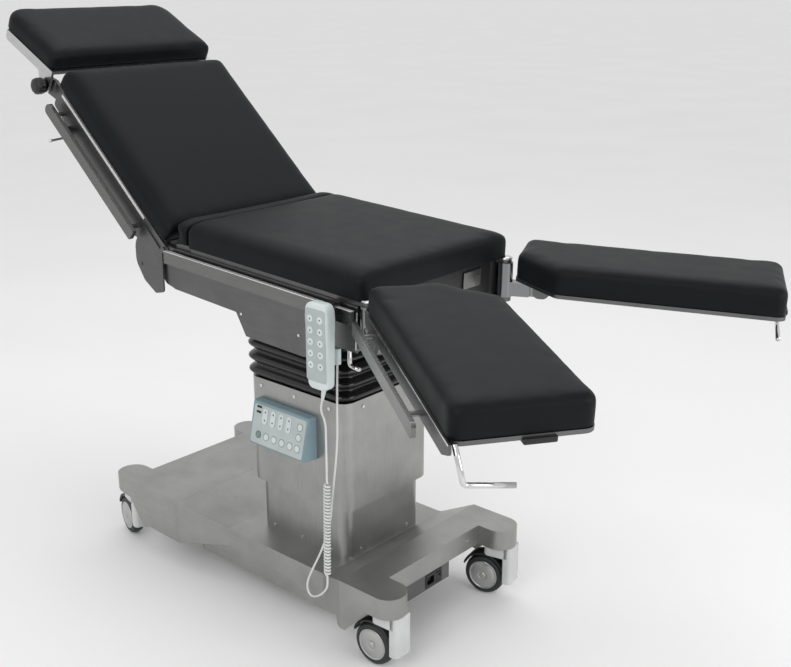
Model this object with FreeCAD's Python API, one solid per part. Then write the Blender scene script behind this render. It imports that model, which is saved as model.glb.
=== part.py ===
import FreeCAD, Part
import math
import os

# Operating table with a tilting seat, a back section, a head section and two spread leg sections.
# Millimetres, +Z up, +X towards the leg end, floor at z = 0 below the column centre.

# driving sizes of the base
DECK_Z = 158.0
LOBE_TOP_Z = 190.0
LOBE_BOTTOM_Z = 141.0
SHEET = 3.0
LOBE_Y = 200.0
LOBE_R = 40.0
FRONT_SWIVEL_X = 333.0
REAR_SWIVEL_X = -568.0
FRONT_FACE_X = 298.0
REAR_EDGE_X = -540.0
WAIST_Y = 204.0
WAIST_X = (-183.0, 139.0)
FLARE_X = (-340.0, 224.0)

# driving sizes of the casters
WHEEL_R = 50.0
WHEEL_HALF = 15.0
DISC_R = 37.0
TRAIL = 35.0
AXLE_R = 6.0
STEM_R = 10.0
CASTER_YAW = {"FL": 12.0, "FR": 2.0, "RL": -8.0, "RR": -15.0}
CASTER_XY = {
    "FL": (FRONT_SWIVEL_X, LOBE_Y),
    "FR": (FRONT_SWIVEL_X, -LOBE_Y),
    "RL": (REAR_SWIVEL_X, LOBE_Y),
    "RR": (REAR_SWIVEL_X, -LOBE_Y),
}

# driving sizes of the column and the lift
CASING_X = 141.0
CASING_Y = 132.0
CASING_TOP = 430.0
SLEEVE_X = 156.0
SLEEVE_Y = 145.0
SLEEVE_Z = (287.0, 548.0)
CYLINDER_R = 45.0
RAM_R = 38.0
RUN = 0.05
GAP = 0.3

# tilt centre of the table top and its rest angle
TILT_Z = 650.0
SEAT_TILT = 2.5
TILT_PIN_R = 12.0

# driving sizes of the seat section, before it is tilted
SEAT_FLOOR_Z = 740.0
SEAT_TOP_Z = 846.0
SEAT_PAD_TOP = 905.0
SEAT_FRONT_X = 282.0
SEAT_REAR_X = -293.0
WALL_Y = (228.0, 236.0)
COVER_Y = 240.0
RAIL_Y = (248.0, 258.0)
RAIL_Z = (799.0, 827.0)
RAIL_X = (-306.0, 280.0)
PAD_HALF = 248.0
SEAT_PAD_X = (-239.7, 296.0)

# driving sizes of the back section, u runs from its hinge to the head, n is up from it
BACK_HINGE = (-324.0, 824.0)
BACK_ANGLE = 39.0
BACK_PAD_U = (10.0, 518.0)
BACK_PAD_N = (16.0, 66.0)
HINGE_R = 10.0

# driving sizes of the head section, measured the same way from its own hinge
HEAD_HINGE = (547.0, -29.0)
HEAD_ANGLE = -14.5
HEAD_PIN_R = 8.0
HEAD_PAD_U = (-12.0, 222.0)
HEAD_PAD_N = (49.0, 92.0)

# driving sizes of the leg sections, u runs from the post to the foot, v is outward, n is up
POST_XY = (306.0, 226.0)
POST_TOP_Z = 824.0
POST_R = 17.5
POST_PIN_R = 8.0
LEG_PITCH_UN = (80.0, -60.0)
LEG_LENGTH = 590.0
LEG_V = (-229.0, 16.0)
LEG_PAD_H = 56.0
LEG_SPREAD = {"near": 34.5, "far": 26.0}
LEG_PITCH = {"near": 4.2, "far": 1.7}
LEG_SIDE = {"near": -1.0, "far": 1.0}
LEG_PIN_R = 6.0

# handset and its cord
CORD_D = 4.5
COIL_D = 16.0
CORD_Y = -290.0
COIL_Z = (452.0, 228.0)


def vec(x, y, z):
    return FreeCAD.Vector(x, y, z)


def box(x0, x1, y0, y1, z0, z1):
    """Block between two values on each axis."""
    low = vec(min(x0, x1), min(y0, y1), min(z0, z1))
    return Part.makeBox(abs(x1 - x0), abs(y1 - y0), abs(z1 - z0), low)


def rod(start, end, radius):
    """Round bar from one point to another."""
    a = vec(*start)
    b = vec(*end)
    return Part.makeCylinder(radius, (b - a).Length, a, b - a)


def fuse(shapes):
    """One shape from several that touch or overlap."""
    result = shapes[0]
    for shape in shapes[1:]:
        result = result.fuse(shape)
    return result.removeSplitter()


def cut(shape, tools):
    """Shape with each tool taken away."""
    for tool in tools:
        shape = shape.cut(tool)
    return shape


def outline(points):
    """Closed 2-D outline as edge data, from corners (a, b) or (a, b, corner radius)."""
    count = len(points)
    nodes = []
    for i in range(count):
        p = vec(points[i][0], points[i][1], 0)
        radius = points[i][2] if len(points[i]) > 2 else 0.0
        if radius <= 0:
            nodes.append((p, None, p))
            continue
        before = vec(points[i - 1][0], points[i - 1][1], 0) - p
        after = vec(points[(i + 1) % count][0], points[(i + 1) % count][1], 0) - p
        before.normalize()
        after.normalize()
        half = before.getAngle(after) / 2
        reach = radius / math.tan(half)
        bisector = before + after
        bisector.normalize()
        middle = p + bisector * (radius / math.sin(half) - radius)
        nodes.append((p + before * reach, middle, p + after * reach))
    return nodes


def face(points, place):
    """Flat face from an outline, each corner put in space by the function place."""
    nodes = outline(points)
    edges = []
    for i in range(len(nodes)):
        start, middle, end = nodes[i]
        if middle is not None:
            edges.append(Part.Arc(place(start), place(middle), place(end)).toShape())
        following = nodes[(i + 1) % len(nodes)][0]
        if (following - end).Length > 1e-4:
            edges.append(Part.LineSegment(place(end), place(following)).toShape())
    return Part.Face(Part.Wire(edges))


def slab_xz(points, y0, y1):
    """Outline in X and Z, between two Y values."""
    flat = face(points, lambda p: vec(p.x, y0, p.y))
    return flat.extrude(vec(0, y1 - y0, 0))


def slab_xy(points, z0, z1):
    """Outline in X and Y, between two Z values."""
    flat = face(points, lambda p: vec(p.x, p.y, z0))
    return flat.extrude(vec(0, 0, z1 - z0))


def slab_yz(points, x0, x1):
    """Outline in Y and Z, between two X values."""
    flat = face(points, lambda p: vec(x0, p.x, p.y))
    return flat.extrude(vec(x1 - x0, 0, 0))


def rectangle(a0, a1, b0, b1, radius=0.0):
    return [(a0, b0, radius), (a1, b0, radius), (a1, b1, radius), (a0, b1, radius)]


def mirrored(shape):
    """The shape on the other side of the table's middle plane."""
    return shape.mirror(vec(0, 0, 0), vec(0, 1, 0))


def both_sides(shape):
    return Part.makeCompound([shape, mirrored(shape)])


def turn(shape, centre, axis, degrees):
    result = shape.copy()
    result.rotate(vec(*centre), vec(*axis), degrees)
    return result


def shift(shape, x, y, z):
    result = shape.copy()
    result.translate(vec(x, y, z))
    return result


# places of the sections in the table

def on_seat(shape):
    """Level seat geometry turned about the tilt centre to its rest angle."""
    return turn(shape, (0, 0, TILT_Z), (0, 1, 0), SEAT_TILT)


def on_back(shape):
    """Flat back geometry, hinge at the origin and head towards -X, raised to its rest angle."""
    raised = turn(shape, (0, 0, 0), (0, 1, 0), BACK_ANGLE)
    return on_seat(shift(raised, BACK_HINGE[0], 0, BACK_HINGE[1]))


def on_head(shape):
    """Flat head geometry, hinge at the origin and crown towards -X."""
    lowered = turn(shape, (0, 0, 0), (0, 1, 0), HEAD_ANGLE)
    return on_back(shift(lowered, -HEAD_HINGE[0], 0, HEAD_HINGE[1]))


def on_post(shape, name):
    """Leg geometry for the far side, post axis at the origin, swung out and put on its side."""
    swung = turn(shape, (0, 0, 0), (0, 0, 1), LEG_SPREAD[name])
    moved = shift(swung, POST_XY[0], POST_XY[1], POST_TOP_Z)
    return moved if LEG_SIDE[name] > 0 else mirrored(moved)


def on_leg(shape, name):
    """Flat leg geometry lowered about its pitch pin, then swung out with its post."""
    centre = (LEG_PITCH_UN[0], 0, LEG_PITCH_UN[1])
    return on_post(turn(shape, centre, (0, 1, 0), LEG_PITCH[name]), name)


# base

def plan_outline(inset):
    """Base seen from above: two lobes at each end and a narrow waist."""
    r = LOBE_R - inset
    outer = LOBE_Y + r
    inner = LOBE_Y - r
    front_tip = FRONT_SWIVEL_X + r
    rear_tip = REAR_SWIVEL_X - r
    waist = WAIST_Y - inset
    rear_waist, front_waist = WAIST_X
    rear_flare, front_flare = FLARE_X
    half = [
        (FRONT_FACE_X - inset, inner, 0),
        (front_tip, inner, r - 0.5),
        (front_tip, outer, r - 0.5),
        (front_flare, outer, 12),
        (front_waist, waist, 12),
        (rear_waist, waist, 12),
        (rear_flare, outer, 12),
        (rear_tip, outer, r - 0.5),
        (rear_tip, inner, r - 0.5),
        (REAR_EDGE_X + inset, inner, 0),
    ]
    return half + [(p[0], -p[1], p[2]) for p in reversed(half)]


def base_top(drop):
    """Corners of the base's upper edge seen from the side, from the front to the rear."""
    high = LOBE_TOP_Z - drop
    low = DECK_Z - drop
    return [(400, high), (FLARE_X[1], high, 8), (WAIST_X[1] + 8, low, 8), (WAIST_X[0], low, 8),
            (FLARE_X[0], high, 8), (-640, high)]


BASE_LOWER = [(-640, 148), (-594, 148), (-534, LOBE_BOTTOM_Z - 1), (-500, 94, 12), (-480, 71, 8),
              (-455, 80, 6), (-336, 78), (-186, 111), (202, 94), (214, 73, 6), (238, 71, 8),
              (254, 88, 12), (286, 124, 8), (302, LOBE_BOTTOM_Z - 1), (400, 141)]


FORK_SWEEP_R = 50.0
SEAM_X = (FLARE_X[0], FLARE_X[1])
SEAM = 0.3


def base_casing():
    """Sheet steel cover of the base in three panels, open below, with a hole for the lift."""
    outer = slab_xz(base_top(0.0) + BASE_LOWER, -260, 260)
    outer = outer.common(slab_xy(plan_outline(0.0), 60, 200))
    room = slab_xz(base_top(SHEET) + [(-640, 0), (400, 0)], -260, 260)
    room = room.common(slab_xy(plan_outline(SHEET), 0, 200))
    shell = outer.cut(room)
    trims = [box(-700, 600, -158.5, 158.5, 0, LOBE_BOTTOM_Z),
             rod((0, 0, 100), (0, 0, 200), CYLINDER_R + 1.0)]
    for x, y in CASTER_XY.values():
        trims.append(rod((x, y, 0), (x, y, LOBE_BOTTOM_Z), FORK_SWEEP_R))
        trims.append(box(x - 46, x + 46, min(y, 0), max(y, 0), 0, LOBE_BOTTOM_Z))
    trims += [box(x, x + SEAM, -260, 260, 0, 260) for x in SEAM_X]
    return cut(shell, trims)


def base_chassis():
    """Heavy welded frame and ballast pan inside the base, with a socket for each caster stem."""
    inside = slab_xz(base_top(SHEET) + [(-640, LOBE_BOTTOM_Z), (400, LOBE_BOTTOM_Z)], -260, 260)
    inside = inside.common(slab_xy(plan_outline(SHEET), 60, 200))
    waist_y = WAIST_Y - SHEET
    keep = fuse([
        box(-640, 400, LOBE_Y - 36, 260, 100, 200),
        box(-640, 400, -260, 36 - LOBE_Y, 100, 200),
        box(REAR_EDGE_X + SHEET, FLARE_X[0], -200, 200, 100, 200),
        box(FLARE_X[1], FRONT_FACE_X - SHEET, -200, 200, 100, 200),
        box(-120, 110, -200, 200, 100, 200),
    ])
    frame = inside.common(keep)
    pan = slab_xy(rectangle(-316, 168, -190, 190, 18), 54, 111)
    risers = [box(-300, 150, side * 165, side * 190, 111, LOBE_BOTTOM_Z) for side in (-1, 1)]
    block = box(-120, 110, -190, 190, 111, LOBE_BOTTOM_Z)
    whole = fuse([frame, pan, block] + risers)
    pocket = rod((0, 0, 60), (0, 0, 200), CYLINDER_R)
    stems = [rod((x, y, 100), (x, y, 178), STEM_R + RUN) for x, y in CASTER_XY.values()]
    return cut(whole, [pocket] + stems)


def inlet_box():
    """Steel housing of the mains inlet under the front of the base."""
    body = box(228, FRONT_FACE_X, -106, 50, 101, LOBE_BOTTOM_Z)
    return body.cut(box(268, FRONT_FACE_X + 1, -34, 22, 105, 138))


def inlet_socket():
    """Black inlet with three contact slots and an opening for the rocker switch."""
    body = box(268, FRONT_FACE_X + 1.5, -34, 22, 105, 138)
    well = slab_yz(rectangle(-30, -6, 112, 131, 3), 280, 302)
    plug = box(280, 294, -25, -11, 118, 125)
    slots = [box(288, 295, y - 1, y + 1, 119.5, 123.5) for y in (-22, -18, -14)]
    switch_well = box(278, 302, 2.0, 17.0, 110.0, 133.0)
    switch_bore = rod((SWITCH_X, 0.0, SWITCH_Z), (SWITCH_X, 19.0, SWITCH_Z), SWITCH_PIN_R + RUN)
    return cut(body.cut(well), [switch_well, switch_bore]).fuse(cut(plug, slots))


SWITCH_X = 289.0
SWITCH_Z = 121.5
SWITCH_PIN_R = 1.5


def mains_switch():
    """Rocker of the mains switch on its own small pin."""
    z = SWITCH_Z
    rocker = slab_xz([(284, z - 10), (300.5, z - 10), (297.5, z), (300.5, z + 10), (284, z + 10)], 2.6, 16.4)
    return rocker.fuse(rod((SWITCH_X, 0.4, z), (SWITCH_X, 18.6, z), SWITCH_PIN_R))


def base_screws():
    """Screw heads on the front of the base and along the foot of the column."""
    heads = [rod((FRONT_FACE_X, y, 166), (FRONT_FACE_X + 1.5, y, 166), 3.5) for y in (-146, 118)]
    for side in (-1, 1):
        for x in (-95, 0, 95):
            heads.append(rod((x, side * CASING_Y, 172), (x, side * (CASING_Y + 1.5), 172), 3.5))
        for y in (-80, 80):
            heads.append(rod((side * CASING_X, y, 172), (side * (CASING_X + 1.5), y, 172), 3.5))
    return Part.makeCompound(heads)


def column_casing():
    """Fixed lower tube of the column, rounded rectangle, open at both ends."""
    outer = slab_xy(rectangle(-CASING_X, CASING_X, -CASING_Y, CASING_Y, 28), DECK_Z, CASING_TOP)
    wall = 2.5
    inner = slab_xy(rectangle(wall - CASING_X, CASING_X - wall, wall - CASING_Y, CASING_Y - wall, 28 - wall),
                    DECK_Z - 1, CASING_TOP + 1)
    return outer.cut(inner)


def lift_cylinder():
    """Fixed cylinder of the lift, standing in the ballast block."""
    body = rod((0, 0, 60), (0, 0, 420), CYLINDER_R)
    return body.cut(rod((0, 0, 68), (0, 0, 421), RAM_R + RUN))


# casters

def caster_fork(name):
    """One-sided yoke with a stem, a front wall, a hood over the tyre and the axle."""
    top = LOBE_BOTTOM_Z - GAP
    stem = rod((0, 0, 120), (0, 0, 174), STEM_R)
    wall_x = WHEEL_R - TRAIL + 1.5
    front = slab_xy([(wall_x, -21, 4), (40, -21, 12), (40, 25, 12), (wall_x, 25, 2)], 42, top)
    bridge = slab_xy([(-34, -21, 12), (30, -21, 2), (30, 25, 2), (-34, 25, 12)], 2 * WHEEL_R + 5, top)
    cheek = slab_xz([(-60, 62, 20), (-52, 30, 14), (-20, 30, 14), (40, 42, 6), (40, top), (-34, top, 10)], 17, 25)
    axle = rod((-TRAIL, 17, WHEEL_R), (-TRAIL, -9, WHEEL_R), AXLE_R)
    hood = rod((-TRAIL, -16, WHEEL_R), (-TRAIL, 17, WHEEL_R), WHEEL_R + 8)
    hood = hood.cut(rod((-TRAIL, -17, WHEEL_R), (-TRAIL, 18, WHEEL_R), WHEEL_R + 3))
    hood = hood.common(box(-100, wall_x, -30, 30, WHEEL_R + 22, 200))
    return put_caster(fuse([stem, front, bridge, cheek, axle, hood]), name)


def caster_tyre(name):
    """Rubber tyre round the wheel disc."""
    ring = Part.makeCylinder(WHEEL_R, 2 * WHEEL_HALF, vec(-TRAIL, -WHEEL_HALF, WHEEL_R), vec(0, 1, 0))
    rims = [edge for edge in ring.Edges if abs(edge.Length - 2 * math.pi * WHEEL_R) < 0.1]
    ring = ring.makeFillet(5.0, rims)
    hole = rod((-TRAIL, -20, WHEEL_R), (-TRAIL, 20, WHEEL_R), DISC_R)
    return put_caster(ring.cut(hole), name)


def caster_disc(name):
    """Wheel disc with a shallow dome on the open side and a blind hub bore."""
    body = rod((-TRAIL, -WHEEL_HALF, WHEEL_R), (-TRAIL, WHEEL_HALF, WHEEL_R), DISC_R)
    sphere_r = 180.0
    sink = math.sqrt(sphere_r ** 2 - (DISC_R - 3) ** 2)
    ball = Part.makeSphere(sphere_r, vec(-TRAIL, sink - WHEEL_HALF, WHEEL_R))
    dome = ball.common(rod((-TRAIL, -WHEEL_HALF - 8, WHEEL_R), (-TRAIL, 0, WHEEL_R), DISC_R - 3))
    bore = rod((-TRAIL, -10, WHEEL_R), (-TRAIL, 20, WHEEL_R), AXLE_R + RUN)
    return put_caster(body.fuse(dome).removeSplitter().cut(bore), name)


def put_caster(shape, name):
    x, y = CASTER_XY[name]
    return shift(turn(shape, (0, 0, 0), (0, 0, 1), CASTER_YAW[name]), x, y, 0)


# lift body

def column_sleeve():
    """Sliding outer tube of the column with its top plate."""
    z0, z1 = SLEEVE_Z
    outer = slab_xy(rectangle(-SLEEVE_X, SLEEVE_X, -SLEEVE_Y, SLEEVE_Y, 30), z0, z1)
    wall = 2.5
    inner = slab_xy(rectangle(wall - SLEEVE_X, SLEEVE_X - wall, wall - SLEEVE_Y, SLEEVE_Y - wall, 30 - wall),
                    z0 - 1, z1 - 4)
    return outer.cut(inner)


def lift_ram():
    """Ram of the lift, under the sleeve's top plate."""
    return rod((0, 0, 180), (0, 0, SLEEVE_Z[1] - 4), RAM_R)


def sleeve_screws():
    """Screw heads round the top edge of the sleeve."""
    heads = []
    for side in (-1, 1):
        for x in (-110, 0, 110):
            heads.append(rod((x, side * SLEEVE_Y, 531), (x, side * (SLEEVE_Y + 1.8), 531), 4))
        for y in (-85, 85):
            heads.append(rod((side * SLEEVE_X, y, 531), (side * (SLEEVE_X + 1.8), y, 531), 4))
    return Part.makeCompound(heads)


def cardan_base():
    """Foot plate with two cheeks that hold the cross pin of the tilt joint."""
    z = SLEEVE_Z[1]
    foot = box(-95, 95, -95, 95, z, z + 12)
    cheeks = []
    for side in (-1, 1):
        shape = slab_xz([(-45, z), (45, z), (33, TILT_Z), (33, TILT_Z + 34, 30), (-33, TILT_Z + 34, 30),
                         (-33, TILT_Z)], side * 58, side * 74)
        cheeks.append(shape)
    bore = rod((0, -90, TILT_Z), (0, 90, TILT_Z), TILT_PIN_R + RUN)
    return fuse([foot] + cheeks).cut(bore)


PANEL_X = (-118.0, 68.0)
PANEL_SIDE = [(-SLEEVE_Y, 397.0, 0), (-188.0, 399.0, 6), (-164.0, 500.0, 6), (-SLEEVE_Y, 500.0, 0)]


def control_panel():
    """Wedge-shaped control box on the near face of the sleeve."""
    body = slab_yz(PANEL_SIDE, PANEL_X[0], PANEL_X[1])
    plan = slab_xy([(PANEL_X[0], -SLEEVE_Y), (PANEL_X[0] + 7, -195, 6), (PANEL_X[1] - 7, -195, 6),
                    (PANEL_X[1], -SLEEVE_Y)], 390, 505)
    return body.common(plan)


def panel_point(x, along):
    """Point on the panel's sloping face, measured down from its upper edge."""
    a = vec(0, PANEL_SIDE[2][0], PANEL_SIDE[2][1])
    b = vec(0, PANEL_SIDE[1][0], PANEL_SIDE[1][1])
    down = b - a
    down.normalize()
    return vec(x, 0, 0) + a + down * along


PANEL_NORMAL = (0.0, -0.9729, 0.2312)
PANEL_PILLS = [(-72, 30), (-46, 30), (-20, 30), (6, 30)]
PANEL_ROUNDS = [(42, 26), (42, 50), (42, 76), (18, 76), (-8, 76), (-34, 76), (-60, 76), (-86, 76)]


def panel_keys():
    """Thin front film with raised keys."""
    normal = vec(*PANEL_NORMAL)
    pieces = []
    for x, along in PANEL_ROUNDS:
        pieces.append(Part.makeCylinder(8.5, 1.2, panel_point(x, along), normal))
    for x, along in PANEL_PILLS:
        top = panel_point(x, along - 11)
        pieces.append(fuse([
            Part.makeCylinder(8.0, 1.2, top, normal),
            Part.makeCylinder(8.0, 1.2, panel_point(x, along + 11), normal),
        ]))
    return Part.makeCompound(pieces)


BELLOWS_FOLDS = 6


def bellows_wires(half_x, half_y, swell):
    """Rounded rings from the sleeve's top to the tilted seat floor, alternately wide and narrow."""
    z0 = SLEEVE_Z[1]
    z1 = SEAT_FLOOR_Z - 4.0
    wires = []
    rings = 2 * BELLOWS_FOLDS
    for i in range(rings + 1):
        t = i / rings
        grow = swell if i % 2 else 0.0
        x = half_x + grow
        y = half_y + grow
        c = 30.0
        corners = [(x - c, y), (x, y - c), (x, c - y), (x - c, -y), (c - x, -y), (-x, c - y), (-x, y - c),
                   (c - x, y)]
        ring = Part.makePolygon([vec(a, b, z0 + (z1 - z0) * t) for a, b in corners + corners[:1]])
        ring.rotate(vec(0, 0, TILT_Z), vec(0, 1, 0), SEAT_TILT * t)
        wires.append(ring)
    return wires


def bellows():
    """Black folded cover between the sleeve and the seat."""
    outer = Part.makeLoft(bellows_wires(150.0, 138.0, 16.0), True, True)
    inner = Part.makeLoft(bellows_wires(146.0, 134.0, 16.0), True, True)
    return outer.cut(inner)


# tilt cross

def cardan_cross():
    """Cross of the tilt joint: one pin across the table and one along it."""
    block = box(-48, 48, -56, 56, TILT_Z - 24, TILT_Z + 24)
    across = rod((0, -76, TILT_Z), (0, 76, TILT_Z), TILT_PIN_R)
    along = rod((-80, 0, TILT_Z), (80, 0, TILT_Z), TILT_PIN_R)
    return turn(fuse([block, across, along]), (0, 0, TILT_Z), (0, 1, 0), SEAT_TILT)


# seat

def seat_frame():
    """Hollow seat box with tilt lugs, back hinge lugs and brackets with a pin for each leg post."""
    floor = SEAT_FLOOR_Z
    y0, y1 = WALL_Y
    pieces = [
        box(SEAT_REAR_X, SEAT_FRONT_X, -y1, y1, floor, floor + 8),
        box(-236, SEAT_FRONT_X, -y1, y1, SEAT_TOP_Z - 8, SEAT_TOP_Z),
        box(SEAT_FRONT_X - 8, SEAT_FRONT_X, -y1, y1, floor, SEAT_TOP_Z),
        box(SEAT_REAR_X, -242, -y1, y1, 790, 815),
        box(-252, -242, -y1, y1, floor, 834),
    ]
    for side in (-1, 1):
        wall = [(SEAT_REAR_X, floor), (SEAT_FRONT_X, floor), (SEAT_FRONT_X, SEAT_TOP_Z), (-236, SEAT_TOP_Z),
                (-236, 834), (-300, 834), (-324, 840, 0), (-340, 824, 10), (-324, 808, 0), (SEAT_REAR_X, 790)]
        pieces.append(slab_xz(wall, side * y0, side * y1))
        pieces.append(slab_xz([(side * 62, floor + 4), (side * 78, floor + 4), (side * 78, TILT_Z - 24),
                               (side * 62, TILT_Z - 24)], -24, 24))
    body = fuse(pieces)
    bores = [rod((-100, 0, TILT_Z), (100, 0, TILT_Z), TILT_PIN_R + RUN)]
    for side in (-1, 1):
        bores.append(rod((BACK_HINGE[0], side * 200, BACK_HINGE[1]), (BACK_HINGE[0], side * 250, BACK_HINGE[1]),
                         HINGE_R + RUN))
        bores.append(rod((BRIDGE_X, side * 150, 730), (BRIDGE_X, side * 150, 830), BRIDGE_POST_R + RUN))
    reliefs = [rod((POST_XY[0], side * POST_XY[1], 700), (POST_XY[0], side * POST_XY[1], 880), POST_R + 1)
               for side in (-1, 1)]
    body = cut(on_seat(cut(body, bores)), reliefs)
    return fuse([body] + [post_bracket(name) for name in ("near", "far")])


def post_bracket(name):
    """Two arms and the fixed pin that a leg post turns on, in world position."""
    x, y = POST_XY
    y = LEG_SIDE[name] * y
    arms = []
    for z0, z1 in ((POST_TOP_Z + 1 + GAP, POST_TOP_Z + 9), (POST_TOP_Z - 88, POST_TOP_Z - 77 - GAP)):
        arm = slab_xy([(x - 30, y - 14), (x + 13, y - 14, 12), (x + 13, y + 14, 12), (x - 30, y + 14)], z0, z1)
        arms.append(arm)
    pin = rod((x, y, POST_TOP_Z - 88), (x, y, POST_TOP_Z + 9), POST_PIN_R)
    return fuse(arms + [pin])


def side_covers():
    """Folded steel side panel with a deeper skirt in the middle, one each side."""
    points = [(SEAT_REAR_X, 834), (SEAT_FRONT_X, 834), (SEAT_FRONT_X, 737), (150, 735), (147, 688, 18),
              (-48, 686, 4), (-80, 734), (SEAT_REAR_X, 737)]
    panel = slab_xz(points, WALL_Y[1], COVER_Y)
    return cut(on_seat(both_sides(panel)), [post_bracket(name) for name in ("near", "far")])


def seat_rails():
    """Accessory rail with its stand-off blocks, one each side."""
    bar = slab_xz(rectangle(RAIL_X[0], RAIL_X[1], RAIL_Z[0], RAIL_Z[1], 1.5), RAIL_Y[0], RAIL_Y[1])
    blocks = [box(x - 8, x + 8, COVER_Y, RAIL_Y[0], RAIL_Z[0] + 5, RAIL_Z[1] - 5) for x in (-262, -58, 110, 262)]
    return on_seat(both_sides(fuse([bar] + blocks)))


def seat_pad():
    points = rectangle(SEAT_PAD_X[0], SEAT_PAD_X[1], -PAD_HALF, PAD_HALF, 14)
    return on_seat(slab_xy(points, SEAT_TOP_Z, SEAT_PAD_TOP))


# kidney bridge

BRIDGE_X = -268.0
BRIDGE_POST_R = 8.0


def kidney_bridge():
    """Lifting beam under the narrow pad, guided by two posts."""
    beam = box(-290, -242, -232, 232, 834 + GAP, SEAT_TOP_Z)
    posts = [rod((BRIDGE_X, y, 752), (BRIDGE_X, y, 840), BRIDGE_POST_R) for y in (-150, 150)]
    return on_seat(fuse([beam] + posts))


def kidney_pad():
    """Narrow pad between seat and back, hollowed where the back pad turns past it."""
    points = [(-292, SEAT_TOP_Z), (-272, 863), (-272, 874), (-284, SEAT_PAD_TOP), (-240.5, SEAT_PAD_TOP),
              (-240.5, SEAT_TOP_Z)]
    return on_seat(slab_xz(points, -PAD_HALF, PAD_HALF))


# back section

def flat_xz(points, y0, y1):
    """Slab from points given as (u, n) of a back or head section, u running towards -X."""
    turned_over = [(-p[0],) + tuple(p[1:]) for p in points]
    return slab_xz(turned_over, y0, y1)


def flat_box(u0, u1, y0, y1, n0, n1):
    return box(-u1, -u0, y0, y1, n0, n1)


BACK_SIDE_Y = (240.5, 244.0)


HINGE_BOLT_R = 7.0


def back_frame():
    """Side plates, pad plate and cross beams, with hinge pins and lugs for the head section."""
    y0, y1 = BACK_SIDE_Y
    hu, hn = HEAD_HINGE
    pieces = [flat_box(40, 505, -y0, y0, 8, BACK_PAD_N[0]),
              flat_box(92, 128, -y0, y0, -28, 8),
              flat_box(440, 470, -y0, y0, -22, 8)]
    for side in (-1, 1):
        plate = [(-14, 12, 8), (480, 14), (498, -6, 10), (495, -40, 10), (114, -68, 10), (0, -18, 12),
                 (-16, -8, 8)]
        pieces.append(flat_xz(plate, side * y0, side * y1))
        lug = [(462, 8), (530, 4, 10), (hu + 16, hn + 17, 15), (hu + 16, hn - 16, 15), (hu - 12, hn - 16, 10),
               (462, -18)]
        pieces.append(flat_xz(lug, side * WALL_Y[0], side * WALL_Y[1]))
        pieces.append(rod((0, side * 226, 0), (0, side * y1, 0), HINGE_R))
        pieces.append(rod((0, side * y1, 0), (0, side * 247.7, 0), HINGE_BOLT_R))
        boss = flat_box(408, 424, side * 230, side * 257, -58, -42)
        if side < 0:
            pieces.append(boss)
    body = fuse(pieces)
    bores = [rod((-hu, side * 220, hn), (-hu, side * 240, hn), HEAD_PIN_R + RUN) for side in (-1, 1)]
    bores.append(rod((-416, -250, -40), (-416, -250, -80), LEVER_R + RUN))
    return on_back(cut(body, bores))


LEVER_R = 3.5


def back_lever():
    """Small bent release lever under the near side of the back section."""
    down = rod((-416, -250, -44), (-416, -250, -76), LEVER_R)
    out = rod((-416, -250, -74), (-416, -284, -78), LEVER_R)
    tip = Part.makeSphere(LEVER_R + 1.0, vec(-416, -284, -78))
    return on_back(fuse([down, out, tip]))


def back_rails():
    """Accessory rail of the back section on round stand-offs, one each side."""
    bar = flat_xz([(77, -22, 4), (488, -22, 12), (488, -50, 12), (77, -50, 4)], 262, 272)
    posts = [rod((-u, BACK_SIDE_Y[1], -32), (-u, 262, -32), 5.0) for u in (100, 455)]
    return on_back(both_sides(fuse([bar] + posts)))


def back_pad():
    r = 20.0
    points = [(BACK_PAD_U[0], BACK_PAD_N[0], 8), (BACK_PAD_U[1], BACK_PAD_N[0], 8),
              (BACK_PAD_U[1], BACK_PAD_N[1], 10), (BACK_PAD_U[0], BACK_PAD_N[1], r)]
    return on_back(flat_xz(points, -PAD_HALF, PAD_HALF))


def hinge_covers():
    """D-shaped cover plate over each back hinge."""
    points = [(84, -3, 8), (-3, -6, 6), (-64, -78, 8), (-46, -104, 10), (0, -112, 30), (48, -100, 40),
              (78, -66, 40)]
    plate = flat_xz(points, BACK_SIDE_Y[1], 247.4)
    plate = plate.cut(rod((0, BACK_SIDE_Y[1] - 1, 0), (0, 248.4, 0), HINGE_BOLT_R + GAP))
    screw = rod((-32, 247.4, -90), (-32, 248.8, -90), 4.0)
    return on_back(both_sides(plate.fuse(screw)))


# head section

def head_frame():
    """Pad plate with two cheeks and the hinge pins of the head section."""
    y0, y1 = PAD_HALF - 7.5, PAD_HALF - 1.5
    pieces = [flat_box(-20, 186, -y0, y0, 41, HEAD_PAD_N[0])]
    for side in (-1, 1):
        cheek = [(-15, -15, 14), (15, -15, 14), (34, 24, 6), (186, 24, 10), (186, 49, 0), (-20, 49, 0),
                 (-20, 24, 6)]
        pieces.append(flat_xz(cheek, side * y0, side * y1))
        pieces.append(rod((0, side * 222, 0), (0, side * y1, 0), HEAD_PIN_R))
    return on_head(fuse(pieces))


def head_pad():
    outer = slab_xy([(-HEAD_PAD_U[1], -PAD_HALF, 45), (-HEAD_PAD_U[0], -PAD_HALF, 12),
                     (-HEAD_PAD_U[0], PAD_HALF, 12), (-HEAD_PAD_U[1], PAD_HALF, 45)],
                    HEAD_PAD_N[0], HEAD_PAD_N[1])
    return on_head(outer)


def head_knob():
    """Black clamp knob on the near end of the head hinge."""
    stem = rod((0, -PAD_HALF + 1.2, 0), (0, -PAD_HALF - 8, 0), 7.0)
    grip = rod((0, -PAD_HALF - 6, 0), (0, -PAD_HALF - 40, 0), 20.0)
    rims = [edge for edge in grip.Edges if abs(edge.Length - 2 * math.pi * 20.0) < 0.1]
    return on_head(stem.fuse(grip.makeFillet(5.0, rims)))


# leg sections, drawn for the far side

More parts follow.
